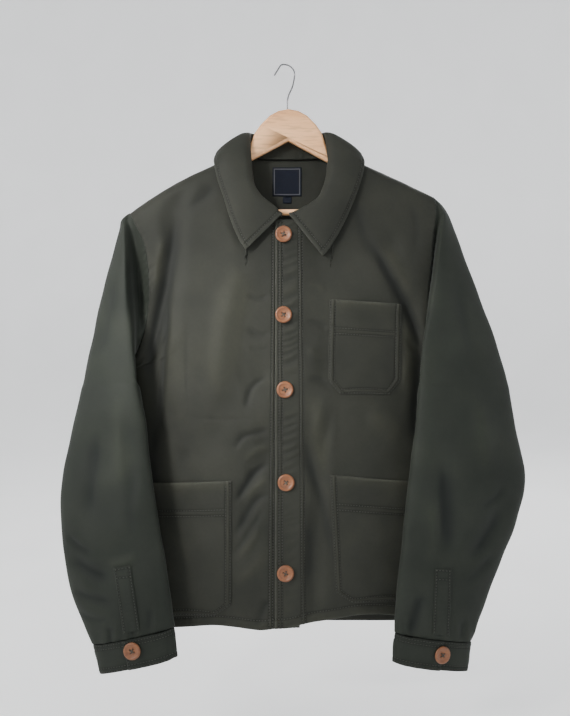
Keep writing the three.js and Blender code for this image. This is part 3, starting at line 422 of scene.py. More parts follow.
def rounded_line(line, steps=6):
    line = np.array(line, float)
    return line if len(line) < 3 else smooth_down(line[:, None], steps)[:, 0]


def fold(points, line, deep, wide, left_side=1.0):
    """How far one fold presses the cloth in at each point. left_side is its width there, going along
    the line, as a share of its width on the right side."""
    far, along, side, total = from_line(points[..., [0, 2]], rounded_line(line))
    share = along / total
    taper = np.clip(share / 0.3, 0, 1) * np.clip((1 - share) / 0.3, 0, 1)
    uneven = 1 + 0.25 * wander(along, 45, int(abs(line[0][0]) * 7 + abs(line[0][1])))
    width = np.where(side > 0, wide * left_side, wide)
    return deep * taper * taper * (3 - 2 * taper) * uneven * np.exp(-((far / width) ** 2))


def folds(points, table):
    return sum(fold(points, *row) for row in table)


def puckers(along, far, high, wave, reach, seed):
    """Waves across a stitch line: wave from one to the next, and reach how far beside the line."""
    phase = along / wave + 0.9 * wander(along, 2.7 * wave, seed)
    strength = 0.55 + 0.45 * wander(along, 3.3 * wave, seed + 1)
    return high * strength * np.sin(2 * np.pi * phase) * np.exp(-((far / reach) ** 2))


def groove(far, at, deep=0.55, wide=1.0):
    """The groove that a line of stitches pulls into cloth, a distance from an edge or line."""
    return -deep * np.exp(-(((far - at) / wide) ** 2))


def welt(far, first, last, high=0.7):
    """The raised band between two rows of stitches."""
    t = np.clip((far - first) / (last - first), 0, 1)
    return high * np.sin(np.pi * t) ** 0.7


def rolled(far, wall, reach=1.7):
    """How an edge of cloth rounds off."""
    t = np.clip(1 - far / reach, 0, 1)
    return -0.4 * wall * (1 - np.sqrt(1 - t * t))


def near_edge(far, reach=2.2):
    return np.exp(-((far / reach) ** 2))


# %% [markdown]
# A finished grid becomes a mesh of quads, and Solidify gives it the cloth's thickness on the inner
# side. The mesh carries a map of the flat cloth for its weave, and three numbers at each point for the
# material: how far it stands out or is pressed in, which the material paints as highlight and shade; how
# near it is to a worn edge; and how near it is to a row of stitches, where the material paints shade.

# %% Cloth meshes
def quads_of(rows, columns):
    i, j = np.meshgrid(np.arange(rows - 1), np.arange(columns - 1), indexing="ij")
    a = i * columns + j
    return np.stack([a, a + 1, a + columns + 1, a + columns], axis=-1).reshape(-1, 4)


def link(name, mesh):
    made = bpy.data.objects.new(name, mesh)
    bpy.context.scene.collection.objects.link(made)
    return made


def baked(raw, name):
    """The object with its modifiers made into a plain mesh, under its final name."""
    graph = bpy.context.evaluated_depsgraph_get()
    done = raw.evaluated_get(graph)
    mesh = bpy.data.meshes.new_from_object(done, preserve_all_data_layers=True, depsgraph=graph)
    bpy.data.objects.remove(raw)
    mesh.name = name
    mesh.shade_smooth()
    return link(name, mesh)


seams = {}


def seam_shade(cloth, reach=1.5):
    """How close each point lies to a row of stitches, 1 on it; the cloth there is dented, and the material
    paints shade on it.
    """
    lines = seams.get(cloth.name, [])
    steps = [step for line in lines for step in zip(line[:-1, :3], line[1:, :3], strict=True)]
    points = [at * (1 - t) + to * t for at, to in steps for t in (0, 0.25, 0.5, 0.75)]
    shade = np.zeros(cloth.relief.shape)
    if points:
        tree = KDTree(len(points))
        for k, point in enumerate(points):
            tree.insert(point, k)
        tree.balance()
        far = [tree.find(point)[2] for point in cloth.at.reshape(-1, 3)]
        shade = np.exp(-((np.array(far) / reach) ** 2)).reshape(shade.shape)
    return shade


def cloth_mesh(cloth, wall, material):
    rows, columns = cloth.at.shape[:2]
    quads = quads_of(rows, columns)
    if cloth.out > 0:
        quads = quads[:, ::-1]
    mesh = bpy.data.meshes.new("raw")
    mesh.from_pydata((cloth.at * MM).reshape(-1, 3).tolist(), [], quads.tolist())
    uv = np.stack([cloth.left, -cloth.top], axis=-1).reshape(-1, 2) * MM
    mesh.uv_layers.new(name="cut").data.foreach_set("uv", uv[quads.ravel()].ravel().astype(np.float32))
    for label, values in (("relief", cloth.relief), ("wear", cloth.wear), ("seam", seam_shade(cloth))):
        values = values.ravel().astype(np.float32)
        mesh.attributes.new(label, "FLOAT", "POINT").data.foreach_set("value", values)
    bm = bmesh.new()
    bm.from_mesh(mesh)
    bmesh.ops.remove_doubles(bm, verts=bm.verts, dist=1e-5)
    bm.to_mesh(mesh)
    bm.free()
    mesh.materials.append(material)
    raw = link("raw", mesh)
    solidify = raw.modifiers.new("wall", "SOLIDIFY")
    solidify.thickness = wall * MM
    solidify.offset = -1
    made = baked(raw, cloth.name)
    print(cloth.name, len(made.data.polygons), "faces")
    return made


def surface_of(cloth):
    rows, columns = cloth.at.shape[:2]
    return BVHTree.FromPolygons((cloth.at * MM).reshape(-1, 3).tolist(), quads_of(rows, columns).tolist())


def depth_at(surface, x, z):
    """How far back a surface lies, seen straight from the front."""
    place = surface.ray_cast(Vector((x * MM, -0.5, z * MM)), Vector((0, 1, 0)))[0]
    return None if place is None else place.y / MM

# %% [markdown]
# Moleskin is a heavy cotton whose brushed face is soft, and slightly lighter where light grazes it. The
# material has a sheen for that nap, a fine grain that raises the surface, wide cloudy patches of tone
# from dyeing and wear, and paler worn edges. Its colour also has painted highlight on ridges, painted
# shade in hollows and painted shade along the rows of stitches. Everything is worked out from the surface.

# %% Materials for cloth
def new_material(name):
    material = bpy.data.materials.new(name)
    material.use_nodes = True
    nodes = material.node_tree.nodes
    return material, nodes, material.node_tree.links, nodes["Principled BSDF"]


def noise(nodes, links, place, scale, detail=3.0, roughness=0.55):
    node = nodes.new("ShaderNodeTexNoise")
    node.inputs["Scale"].default_value = scale
    node.inputs["Detail"].default_value = detail
    node.inputs["Roughness"].default_value = roughness
    links.new(place, node.inputs["Vector"])
    return node.outputs["Fac"]


def ramp(nodes, links, value, *stops):
    node = nodes.new("ShaderNodeValToRGB")
    while len(node.color_ramp.elements) < len(stops):
        node.color_ramp.elements.new(0.5)
    for element, (position, color) in zip(node.color_ramp.elements, stops, strict=True):
        element.position = position
        element.color = (*color, 1)
    links.new(value, node.inputs["Fac"])
    return node.outputs["Color"]


def give(links, socket, value):
    if isinstance(value, bpy.types.NodeSocket):
        links.new(value, socket)
    else:
        socket.default_value = (*value, 1) if isinstance(value, tuple) else value


def mix(nodes, links, blend, share, first, second):
    node = nodes.new("ShaderNodeMix")
    node.data_type = "RGBA"
    node.blend_type = blend
    for socket, value in ((node.inputs[0], share), (node.inputs[6], first), (node.inputs[7], second)):
        give(links, socket, value)
    return node.outputs[2]


def calculate(nodes, links, operation, *values):
    node = nodes.new("ShaderNodeMath")
    node.operation = operation
    for socket, value in zip(node.inputs, values, strict=False):
        give(links, socket, value)
    return node.outputs[0]


def bump(nodes, links, height, strength, distance, normal=None):
    node = nodes.new("ShaderNodeBump")
    node.inputs["Strength"].default_value = strength
    node.inputs["Distance"].default_value = distance
    links.new(height, node.inputs["Height"])
    if normal is not None:
        links.new(normal, node.inputs["Normal"])
    return node.outputs["Normal"]


def attribute(nodes, name):
    node = nodes.new("ShaderNodeAttribute")
    node.attribute_name = name
    return node.outputs["Fac"]


def moleskin(name, dark, light, worn):
    material, nodes, links, shader = new_material(name)
    place = nodes.new("ShaderNodeTexCoord").outputs["Object"]
    clouds = noise(nodes, links, place, 9, 4, 0.6)
    nap = noise(nodes, links, place, 260, 3, 0.65)
    grain = noise(nodes, links, place, 1500, 2, 0.6)
    color = ramp(nodes, links, clouds, (0.32, dark), (0.7, light))
    color = mix(nodes, links, "OVERLAY", 0.25, color, ramp(
        nodes, links, nap, (0.3, (0.3, 0.3, 0.3)), (0.72, (0.72, 0.72, 0.72))))
    rubbed = calculate(nodes, links, "MULTIPLY", nap, 0.8)
    rubbed = calculate(nodes, links, "MULTIPLY", attribute(nodes, "wear"), rubbed)
    color = mix(nodes, links, "MIX", rubbed, color, worn)
    # Painted shade and highlight: where the cloth is pressed in (folds, stitch grooves, rolled edges) its
    # colour is made darker and bluer, and where it stands out it is made lighter.
    height = calculate(nodes, links, "MULTIPLY_ADD", attribute(nodes, "relief"), 0.09, 0.5)
    tone = ramp(nodes, links, height, (0.2, (0.5, 0.53, 0.6)), (0.5, (0.98, 0.98, 0.98)),
                (0.66, (1.3, 1.28, 1.2)))
    color = mix(nodes, links, "MULTIPLY", 0.9, color, tone)
    # Painted shade along the rows of stitches: the colour there is mixed towards a much darker tone.
    sewn = calculate(nodes, links, "MULTIPLY", attribute(nodes, "seam"), 0.72)
    color = mix(nodes, links, "MIX", sewn, color, tuple(0.28 * x for x in dark))
    links.new(color, shader.inputs["Base Color"])
    cut = nodes.new("ShaderNodeUVMap")
    cut.uv_map = "cut"
    weave = nodes.new("ShaderNodeTexWave")
    weave.bands_direction = "DIAGONAL"
    weave.inputs["Scale"].default_value = 420
    weave.inputs["Distortion"].default_value = 1.5
    links.new(cut.outputs["UV"], weave.inputs["Vector"])
    normal = bump(nodes, links, weave.outputs["Fac"], 0.12, 0.0002)
    normal = bump(nodes, links, grain, 0.35, 0.0003, normal)
    links.new(bump(nodes, links, nap, 0.22, 0.0008, normal), shader.inputs["Normal"])
    links.new(calculate(nodes, links, "MULTIPLY_ADD", nap, 0.2, 0.56), shader.inputs["Roughness"])
    shader.inputs["Sheen Weight"].default_value = 0.09
    shader.inputs["Sheen Roughness"].default_value = 0.42
    shader.inputs["Sheen Tint"].default_value = (0.86, 0.88, 0.84, 1)
    shader.inputs["Specular IOR Level"].default_value = 0.15
    return material


BODY_CLOTH = moleskin("moleskin_body", (0.0135, 0.0145, 0.0112), (0.0225, 0.0236, 0.0182),
                      (0.044, 0.046, 0.037))
SLEEVE_CLOTH = moleskin("moleskin_sleeve", (0.011, 0.0136, 0.0104), (0.0185, 0.0218, 0.0168),
                        (0.037, 0.042, 0.033))
POCKET_CLOTH = moleskin("moleskin_pocket", (0.0138, 0.0148, 0.0115), (0.023, 0.0242, 0.0187),
                        (0.044, 0.046, 0.037))

# %% [markdown]
# The two fronts. The right one lies on top, with its edge just left of the middle, and both hang from
# the shoulder seam over the hanger. The soft shapes to catch are the long troughs from the shoulder to
# the armpit, the slanting creases beside the buttons, and the waves between the rows of stitching.

# %% The fronts
CLOTH = 1.6
FRONT = (0, -1, 0)
HEM_LINE = 13
HEM = [0, 0.4, 1, 2, 4, 6.5, 9, 11, 12, 13, 14, 15.2, 17]
PLACKET = [*EDGE, 4, 5, 6, 7, 8, 9, 10, 11, 12.4, 14, 16, 18.5, 21, 23.5, 26, 28.5, 30.5, 32,
           33, 34, 35, 36, 37, 38, 39, 40, 41, 42, 43, 44, 45.5, 47]
FRONT_CORNERS = {
    "front_under": [(17.5, -25, -227), (-228, 0, -213.5), (17.5, -46, -801), (-252, 8, -808)],
    "front_over": [(-16.5, -28, -227), (212, 0, -190), (-16.5, -50, -800), (252, 8, -808)],
}
FRONT_FOLDS = {
    "front_under": [
        ([(-152, -204), (-162, -244), (-168, -291), (-178, -339), (-188, -382), (-196, -430),
          (-198, -480)], 4.0, 8, 1.3),
        ([(-168, -330), (-172, -380), (-176, -430), (-179, -490), (-176, -540)], 2.6, 6, 0.8),
        ([(-176, -246), (-183, -290), (-187, -330)], -2.0, 6),
        ([(-100, -176), (-122, -196), (-146, -214)], 1.2, 7, 1.2),
        ([(-86, -214), (-76, -238), (-61, -268)], 1.0, 6, 0.7),
        ([(-55, -285), (-75, -328), (-86, -369), (-94, -429), (-100, -500)], -2.6, 17, 1.2),
        ([(-24, -336), (-41, -341), (-60, -334)], 1.0, 4, 0.7),
        ([(-22, -389), (-38, -392), (-58, -381)], 0.9, 4, 1.3),
        ([(-24, -409), (-41, -413), (-55, -407)], 0.8, 3.5, 0.8),
        ([(-24, -451), (-41, -459), (-53, -474), (-58, -502)], 1.5, 5, 0.7),
        ([(-22, -525), (-46, -531), (-63, -537), (-76, -556)], 2.0, 5, 0.7),
        ([(-22, -548), (-44, -556), (-62, -570)], -1.2, 5),
        ([(-22, -568), (-46, -588), (-61, -610), (-76, -632)], 2.6, 6, 0.7),
        ([(-24, -590), (-44, -606), (-60, -630)], -1.4, 5),
        ([(-22, -612), (-44, -626), (-60, -652), (-76, -680)], 2.2, 5.5, 0.8),
        ([(-30, -632), (-50, -664), (-63, -684), (-78, -704)], 1.4, 4, 0.8),
        ([(-38, -662), (-54, -688), (-70, -704)], -1.2, 5),
        ([(-22, -690), (-46, -716), (-76, -742)], -1.0, 8),
        ([(-22, -758), (-33, -777), (-41, -800)], 1.8, 6, 0.8),
        ([(-140, -548), (-150, -575), (-146, -600)], 1.0, 9),
        ([(-186, -500), (-192, -560), (-188, -618), (-180, -672)], 2.6, 8),
        ([(-142, -354), (-142.5, -430), (-141, -509)], 0.5, 2.2),
        ([(-141, -509), (-90, -511), (-24, -508)], 0.45, 2.2),
    ],
    "front_over": [
        ([(96, -196), (110, -250), (128, -290)], 1.4, 8, 1.2),
        ([(114, -247), (137, -290), (157, -324), (174, -354), (188, -395), (196, -440)], 3.6, 7, 0.75),
        ([(140, -262), (160, -300), (178, -338)], -1.6, 7),
        ([(192, -400), (188, -459), (184, -509), (186, -560)], 3.0, 8, 0.9),
        ([(168, -360), (172, -420), (168, -480)], -1.8, 9),
        ([(26, -530), (36, -585), (50, -625), (57, -659), (64, -705)], 2.4, 7, 0.8),
        ([(29, -640), (33, -690), (30, -750)], 1.6, 6),
        ([(44, -470), (46, -540), (56, -600)], -1.6, 9),
        ([(26, -318), (44, -322), (58, -330)], -0.9, 4),
        ([(26, -372), (46, -376), (60, -384)], 0.9, 4.5, 0.7),
        ([(26, -412), (44, -420), (62, -418)], -0.9, 5),
        ([(26, -452), (48, -456), (66, -470)], 1.2, 5, 0.7),
        ([(180, -200), (186, -236), (184, -270)], 0.9, 5),
        ([(110, -500), (140, -520), (168, -540)], -1.0, 14),
        ([(80, -776), (130, -792), (190, -786)], -1.4, 9),
    ],
}
sheets = []


def declare(made, node, flat, area, rests_on):
    """Puts a finished piece of cloth in the place of its node."""
    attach(made, "root")
    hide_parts(node)
    sheets.append((made, flat, area, rests_on))


def front_panel(node):
    grid = panel_grid(node, CLOTH, FRONT_CORNERS[node], FRONT)
    cloth = Cloth("cloth_" + node, fine_grid(grid, (EDGE, HEM, 3.0), (PLACKET, EDGE, 3.0)), FRONT)
    cloth.lift(-1.3 * folds(cloth.at, FRONT_FOLDS[node]), FRONT)
    inside = np.clip(cloth.left / 60, 0, 1) * np.clip(cloth.right / 30, 0, 1)
    beside = np.clip(cloth.left / 44, 0, 1)
    cloth.lift(0.5 * hills(cloth.at, 95, 4) * inside + 0.16 * hills(cloth.at, 27, 5) * beside)
    share = cloth.top / cloth.top[-1]
    facing = 33.5 + 5 * share
    height = puckers(cloth.top + 0.28 * cloth.left, cloth.left - 0.5 * facing - 3, 0.95, 15, 13.5, 21)
    height += puckers(cloth.top, cloth.left - facing - 3, 0.3, 6.4, 7, 22)
    height += puckers(cloth.top, cloth.left - 5.4, 0.25, 5.2, 4, 23)
    height += puckers(cloth.left, cloth.bottom - HEM_LINE, 0.45, 13, 9, 24)
    height += puckers(cloth.top, cloth.right, 0.5, 11, 9, 25) * (cloth.top < 330)
    for at in (5.4, 9.8, facing, facing + 4.6):
        height += groove(cloth.left, at)
    height += welt(cloth.left, 5.4, 9.8) + welt(cloth.left, facing, facing + 4.6)
    height += welt(cloth.left, 0, 5.4, 0.5)
    height += groove(cloth.bottom, HEM_LINE) + welt(cloth.bottom, 0, HEM_LINE, 0.5)
    for far in (cloth.left, cloth.bottom, cloth.right, cloth.top):
        height += rolled(far, CLOTH)
    cloth.lift(height)
    cloth.wear = np.maximum(near_edge(cloth.left), 0.7 * near_edge(cloth.bottom))
    facing = facing[:, 0]
    seams[cloth.name] = [cloth.line_down(at, 2) for at in (5.4, 9.8, facing, facing + 4.6)]
    seams[cloth.name].append(cloth.line_across(-HEM_LINE, 2))
    return cloth


fronts = {node: front_panel(node) for node in FRONT_CORNERS}
for node, cloth in fronts.items():
    made = cloth_mesh(cloth, CLOTH, BODY_CLOTH)
    declare(made, node, (0.285, 0.7), 0.165, ["hanger_wood"])

# %% [markdown]
# The back is one wide panel, cut with the neckline and both shoulders. From the front only its inside
# shows, in the neck. Its outside is plain, with folds like those of the front.

# %% The back
BACK = (0, 1, 0)
BACK_FOLDS = [
    ([(-146, -214), (-158, -300), (-172, -380), (-180, -450)], 3.2, 10),
    ([(140, -214), (156, -300), (172, -390), (180, -470)], 3.4, 9, 1.3),
    ([(-60, -176), (-84, -250), (-98, -330)], 1.8, 12, 0.8),
    ([(70, -176), (90, -240), (96, -300)], 1.5, 11),
    ([(52, -480), (64, -600), (78, -790)], 3.2, 12, 0.8),
    ([(-112, -470), (-104, -600), (-90, -790)], 3.0, 13, 1.2),
    ([(-10, -520), (-14, -640), (-20, -800)], -2.6, 15),
    ([(150, -500), (164, -600), (160, -700)], 2.0, 12),
    ([(-30, -150), (0, -158), (34, -150)], 1.0, 6),
]
grid = panel_grid("back", CLOTH, [(-228, 0, -213.5), (212, 0, -190), (-252, 8, -808), (252, 8, -808)], BACK)
back = Cloth("cloth_back", fine_grid(grid, (EDGE, HEM, 3.8), (EDGE, EDGE, 4.2)), BACK)
back.lift(-1.3 * folds(back.at, BACK_FOLDS), BACK)
inside = np.clip(back.left / 30, 0, 1) * np.clip(back.right / 30, 0, 1)
back.lift(0.6 * hills(back.at, 110, 7) * inside)
height = puckers(back.left, back.bottom - HEM_LINE, 0.45, 13, 9, 31) + groove(back.bottom, HEM_LINE)
for far in (back.left, back.right):
    height += puckers(back.top, far, 0.5, 11, 9, 32) * (back.top < 330)
for far in (back.left, back.right, back.top, back.bottom):
    height += rolled(far, CLOTH)
back.lift(height)
back.wear = 0.7 * near_edge(back.bottom)
seams["cloth_back"] = [back.line_across(-HEM_LINE, 2)]
made = cloth_mesh(back, CLOTH, BODY_CLOTH)
declare(made, "back", (0.58, 0.72), 0.345, ["hanger_wood"])

# %% [markdown]
# Each sleeve is one piece set into the armhole and closed under the arm. It hangs a little in front of
# the body, deep in a pleat beside the front, and bends at the elbow, where it has small cross creases.

# %% The sleeves
TIPS = {"sleeve_left": (-228, 0, -213.5), "sleeve_right": (212, 0, -190)}
SLEEVE_FOLDS = {
    "sleeve_left": [
        ([(-300, -698), (-268, -716), (-236, -726)], 2.4, 7, 1.3),
        ([(-298, -742), (-266, -752), (-232, -756)], 2.0, 6),
        ([(-306, -668), (-284, -684), (-262, -690)], 1.4, 5, 0.8),
        ([(-292, -772), (-262, -780), (-236, -778)], 1.3, 4.5),
        ([(-250, -706), (-222, -700), (-196, -688)], -1.2, 7),
        ([(-262, -520), (-268, -580), (-272, -650)], 2.0, 9),
        ([(-236, -470), (-230, -540), (-222, -610)], -1.6, 10),
        ([(-244, -300), (-250, -360), (-262, -430)], 1.2, 7),
        ([(-206, -560), (-212, -620), (-206, -680)], 1.2, 8),
        ([(-244, -786), (-240, -800), (-238, -816)], 1.0, 4),
        ([(-214, -772), (-212, -788), (-210, -804)], 1.0, 4),
        ([(-184, -760), (-184, -776), (-186, -794)], 1.0, 4),
    ],
    "sleeve_right": [
        ([(212, -556), (216, -620), (220, -700)], 3.0, 8, 1.3),
        ([(184, -738), (174, -770), (164, -802)], 2.4, 6),
        ([(296, -632), (274, -668), (252, -700)], 2.2, 8),
        ([(300, -600), (286, -618), (262, -630)], 1.4, 5, 0.8),
        ([(286, -690), (262, -716), (240, -732)], 1.5, 6),
        ([(262, -470), (270, -530), (276, -590)], -1.8, 11),
        ([(240, -310), (250, -380), (262, -440)], 1.3, 8),
        ([(196, -610), (198, -660), (192, -710)], -1.2, 8),
        ([(240, -776), (238, -792), (236, -808)], 1.0, 4),
        ([(206, -776), (206, -790), (206, -806)], 1.0, 4),
        ([(176, -770), (174, -784), (172, -800)], 1.0, 4),
    ],
}


def sleeve(node):
    grid = sleeve_grid(node, CLOTH, TIPS[node])
    cloth = Cloth("cloth_" + node, fine_grid(grid, ([0], EDGE, 3.0), (EDGE, EDGE, 3.1), together=True))
    front = np.clip(-1.6 * cloth.normals()[..., 1] - 0.1, 0, 1)
    behind = np.clip(1.6 * cloth.normals()[..., 1] - 0.1, 0, 1)
    cloth.lift(-1.4 * folds(cloth.at, SLEEVE_FOLDS[node]) * front)
    shifted = cloth.at + np.array([9, 0, 26])
    cloth.lift(-1.2 * folds(shifted, SLEEVE_FOLDS[node]) * behind)
    closing = np.clip(1 - (cloth.top - 300) / 60, 0, 1) * np.clip(cloth.top / 30, 0, 1)
    seam = np.minimum(cloth.left, cloth.right)
    along = np.where(cloth.left < cloth.right, cloth.top, cloth.top + 700)
    height = puckers(along, seam, 0.7, 12, 10, 41) * closing
    height += 0.5 * hills(cloth.at, 60, 8) * np.clip(seam / 25, 0, 1) * np.clip(cloth.bottom / 30, 0, 1)
    height += puckers(cloth.left, cloth.bottom, 0.8, 17, 26, 42)
    height += np.where(cloth.open[:, None], rolled(seam, CLOTH), groove(seam, 0, 0.5, 1.2))
    cloth.lift(height + rolled(cloth.bottom, CLOTH))
    return cloth


sleeves = {node: sleeve(node) for node in TIPS}
for node, cloth in sleeves.items():
    made = cloth_mesh(cloth, CLOTH, SLEEVE_CLOTH)
    declare(made, node, (0.35, 0.6), 0.16, ["hanger_wood"])

# %% [markdown]
# The cuffs are bands of doubled cloth, sewn round the end of each sleeve and lapped at the front.

# %% The cuffs
CUFF_CLOTH = 2.4


def cuff(node):
    grid = panel_grid(node, CUFF_CLOTH)
    if grid[0, :, 2].mean() < grid[-1, :, 2].mean():
        grid = grid[::-1]
    if grid[:, 0, 1].mean() < grid[:, -1, 1].mean():
        grid = grid[:, ::-1]
    lines = [*EDGE, 4, 5, 6, 7, 8, 9]
    cloth = Cloth("cloth_" + node, fine_grid(grid, (lines, lines, 3.0), (lines, lines, 2.6)))
    height = puckers(cloth.left, cloth.top, 0.5, 9, 8, 51)
    height += puckers(cloth.left, cloth.bottom, 0.35, 12, 7, 52)
    for far in (cloth.top, cloth.bottom, cloth.left, cloth.right):
        height += groove(far, 2.2) + rolled(far, CUFF_CLOTH, 2.4)
    height += groove(cloth.bottom, 7) + groove(cloth.top, 7)
    cloth.lift(height + 0.35 * hills(cloth.at, 30, 9))
    cloth.wear = np.maximum(near_edge(cloth.bottom, 3), near_edge(cloth.right, 2))
    seams[cloth.name] = [cloth.line_across(at, 2.2) for at in (2.2, 7, -2.2, -7)]
    seams[cloth.name].append(cloth.line_down(-2.2, 2.2))
    return cloth


cuffs = {node: cuff(node) for node in ("cuff_left", "cuff_right")}
for node, cloth in cuffs.items():
    made = cloth_mesh(cloth, CUFF_CLOTH, SLEEVE_CLOTH)
    declare(made, node, (0.3, 0.045), 0.0125, ["cloth_" + node.replace("cuff", "sleeve")])

# %% [markdown]
# The collar is two layers of cloth with a stiffener between, so it keeps its shape: a stand that rises
# from the neckline, a soft roll, and a leaf that lies over the shoulders and ends in two points.

# %% The collar
COLLAR_CLOTH = 2.2
LEAF = [*EDGE, 4.2, 5.4, 6.2, 7, 7.8, 8.6, 9.6, 11]
COLLAR_CORNERS = [(-7, -22, -222), (3.4, -22, -221), (-58.5, -33, -271.6), (50, -34, -280.5)]
grid = panel_grid("collar", COLLAR_CLOTH, COLLAR_CORNERS)
collar = Cloth("cloth_collar", fine_grid(grid, (EDGE, LEAF, 2.6), (LEAF, LEAF, 2.6)), (0, 0, 1))
leaf = np.clip(1 - collar.bottom / 55, 0, 1)
height = puckers(collar.left, collar.bottom - 7, 0.4, 9, 7, 61) * (collar.bottom < 30)
height += puckers(collar.left, collar.top, 0.6, 10, 9, 62)
height += 0.7 * hills(collar.at, 70, 11) * leaf
for far in (collar.bottom, collar.left, collar.right):
    height += groove(far, 7) + rolled(far, COLLAR_CLOTH, 2.2)
collar.lift(height + rolled(collar.top, COLLAR_CLOTH))
collar.wear = np.maximum(near_edge(collar.left), near_edge(collar.right))
collar.wear = np.maximum(near_edge(collar.bottom, 2.5), collar.wear)
seams["cloth_collar"] = [collar.line_across(-7, 7), collar.line_down(7, 7), collar.line_down(-7, 7)]
made = cloth_mesh(collar, COLLAR_CLOTH, BODY_CLOTH)
declare(made, "collar", (0.5, 0.1), 0.0435, ["cloth_back"])

# %% [markdown]
# A patch pocket is one piece of cloth with its edges turned in, laid on the front and sewn down round
# its sides and its foot, whose corners are cut off. The cloth puckers between the two rows of stitches
# and stands a little proud at the edges. A strap on each sleeve and the neck label lie flat likewise.

# %% Pockets, straps and labels
POCKET_CLOTH_WALL = 1.4
LABEL_WALL = 1.0
POCKET_LINES = [*EDGE, 4, 5, 6, 7, 7.8, 8.6, 9.6, 11]
STRAP_LINES = [0, 0.35, 0.9, 1.6, 2.4]
LABEL_LINES = [0, 0.4, 1.2, 2, 2.8, 3.6]


def spread_on(grid, under, wall, gap, inside_of=0.0):
    """Lays a fine grid on another cloth: a stiff piece bridges that cloth's narrow dips."""
    surface = surface_of(under)
    depth = np.array([[depth_at(surface, x, z) or np.nan for x, _, z in row] for row in grid])
    known = np.isfinite(depth)
    depth[~known] = np.nanmean(depth)
    eased = depth.copy()
    for _ in range(12):
        wide = np.pad(eased, 1, mode="edge")
        eased = (wide[:-2, 1:-1] + wide[2:, 1:-1] + wide[1:-1, :-2] + wide[1:-1, 2:]) / 4
    placed = grid.copy()
    placed[..., 1] = np.minimum(depth, eased) + inside_of - gap - wall
    return placed


POCKETS = {
    "pocket_chest": (
        "front_over", [(60, -36, -341), (164, -22, -347), (74, -33, -475), (145, -25, -476)],
        (0.115, 0.145), 0.0145),
    "pocket_lower_left": (
        "front_under", [(-78, -42, -597), (-212, -16, -604), (-101, -42, -784), (-190, -26, -790)],
        (0.145, 0.2), 0.0265),
    "pocket_lower_right": (
        "front_over", [(60, -45, -588), (212, -16, -603), (90, -42, -766), (190, -22, -768)],
        (0.16, 0.19), 0.0275),
}
pockets = {}
for node, (under, corners, flat, area) in POCKETS.items():
    grid = panel_grid(node, POCKET_CLOTH_WALL, corners, FRONT)
    grid = fine_grid(grid, (POCKET_LINES, POCKET_LINES, 2.6), (POCKET_LINES, POCKET_LINES, 2.6), curved=False)
    cloth = Cloth("cloth_" + node, spread_on(grid, fronts[under], POCKET_CLOTH_WALL, 0.3), FRONT)
    sewn = np.minimum(np.minimum(cloth.left, cloth.right), cloth.bottom)
    along = np.where(cloth.bottom < np.minimum(cloth.left, cloth.right), cloth.left + 400, cloth.top)
    across = cloth.left / (cloth.left + cloth.right)
    mouth = 1.3 * np.exp(-((cloth.top / 16) ** 2)) * np.sin(np.pi * np.clip(across, 0, 1))
    height = mouth + puckers(along, sewn - 5, 0.42, 8.5, 5.5, 71) + groove(sewn, 1.9) + groove(sewn, 8.2)
    height += welt(sewn, 1.9, 8.2, 0.8) + rolled(sewn, POCKET_CLOTH_WALL, 1.5)
    band = groove(cloth.top, 40) + groove(cloth.top, 48) + welt(cloth.top, 40, 48, 0.5)
    height += band * np.clip((sewn - 7) / 2, 0, 1)
    height += welt(cloth.top, 0, 12, 0.5)
    height += puckers(cloth.left, cloth.top - 44, 0.3, 10, 6, 72) * np.clip(sewn / 10, 0, 1)
    height += 0.35 * hills(cloth.at, 45, 12) * np.clip(sewn / 15, 0, 1) + rolled(cloth.top, POCKET_CLOTH_WALL)
    cloth.lift(height)
    cloth.wear = np.maximum(near_edge(sewn, 2), near_edge(cloth.top, 3))
    pockets[node] = cloth
    seams[cloth.name] = [line for at in (1.9, 8.2) for line in (
        cloth.line_down(at, at), cloth.line_across(-at, at), cloth.line_down(-at, at))]
    seams[cloth.name] += [cloth.line_across(at, 8.2) for at in (40, 48)]
    made = cloth_mesh(cloth, POCKET_CLOTH_WALL, POCKET_CLOTH)
    declare(made, node, flat, area, ["cloth_" + under])

STRAPS = {
    "sleeve_strap_left": (
        "sleeve_left", [(-234, -80, -708), (-211, -82, -704), (-221, -80, -796), (-199, -82, -790)]),
    "sleeve_strap_right": (
        "sleeve_right", [(199.5, -80, -708), (222, -80, -710), (196, -80, -795), (219, -80, -800)]),
}
straps = {}
for node, (under, corners) in STRAPS.items():
    grid = panel_grid(node, POCKET_CLOTH_WALL, corners, FRONT)
    grid = fine_grid(grid, (STRAP_LINES, STRAP_LINES, 2), (STRAP_LINES, STRAP_LINES, 2), curved=False)
    cloth = Cloth("cloth_" + node, spread_on(grid, sleeves[under], POCKET_CLOTH_WALL, 0.3), FRONT)
    edge = np.minimum(np.minimum(cloth.left, cloth.right), cloth.top)
    height = groove(edge, 2.2) + rolled(edge, POCKET_CLOTH_WALL, 1.5)
    cloth.lift(height + puckers(cloth.top, cloth.left - 11, 0.25, 9, 9, 81))
    cloth.wear = near_edge(edge, 1.5)
    straps[node] = cloth
    seams[cloth.name] = [cloth.line_down(2.2, 2.2), cloth.line_down(-2.2, 2.2), cloth.line_across(2.2, 2.2)]
    seams[cloth.name] += [cloth.line_across(14, 2.2)]
    made = cloth_mesh(cloth, POCKET_CLOTH_WALL, SLEEVE_CLOTH)
    declare(made, node, (0.026, 0.095), 0.0023, ["cloth_" + under])


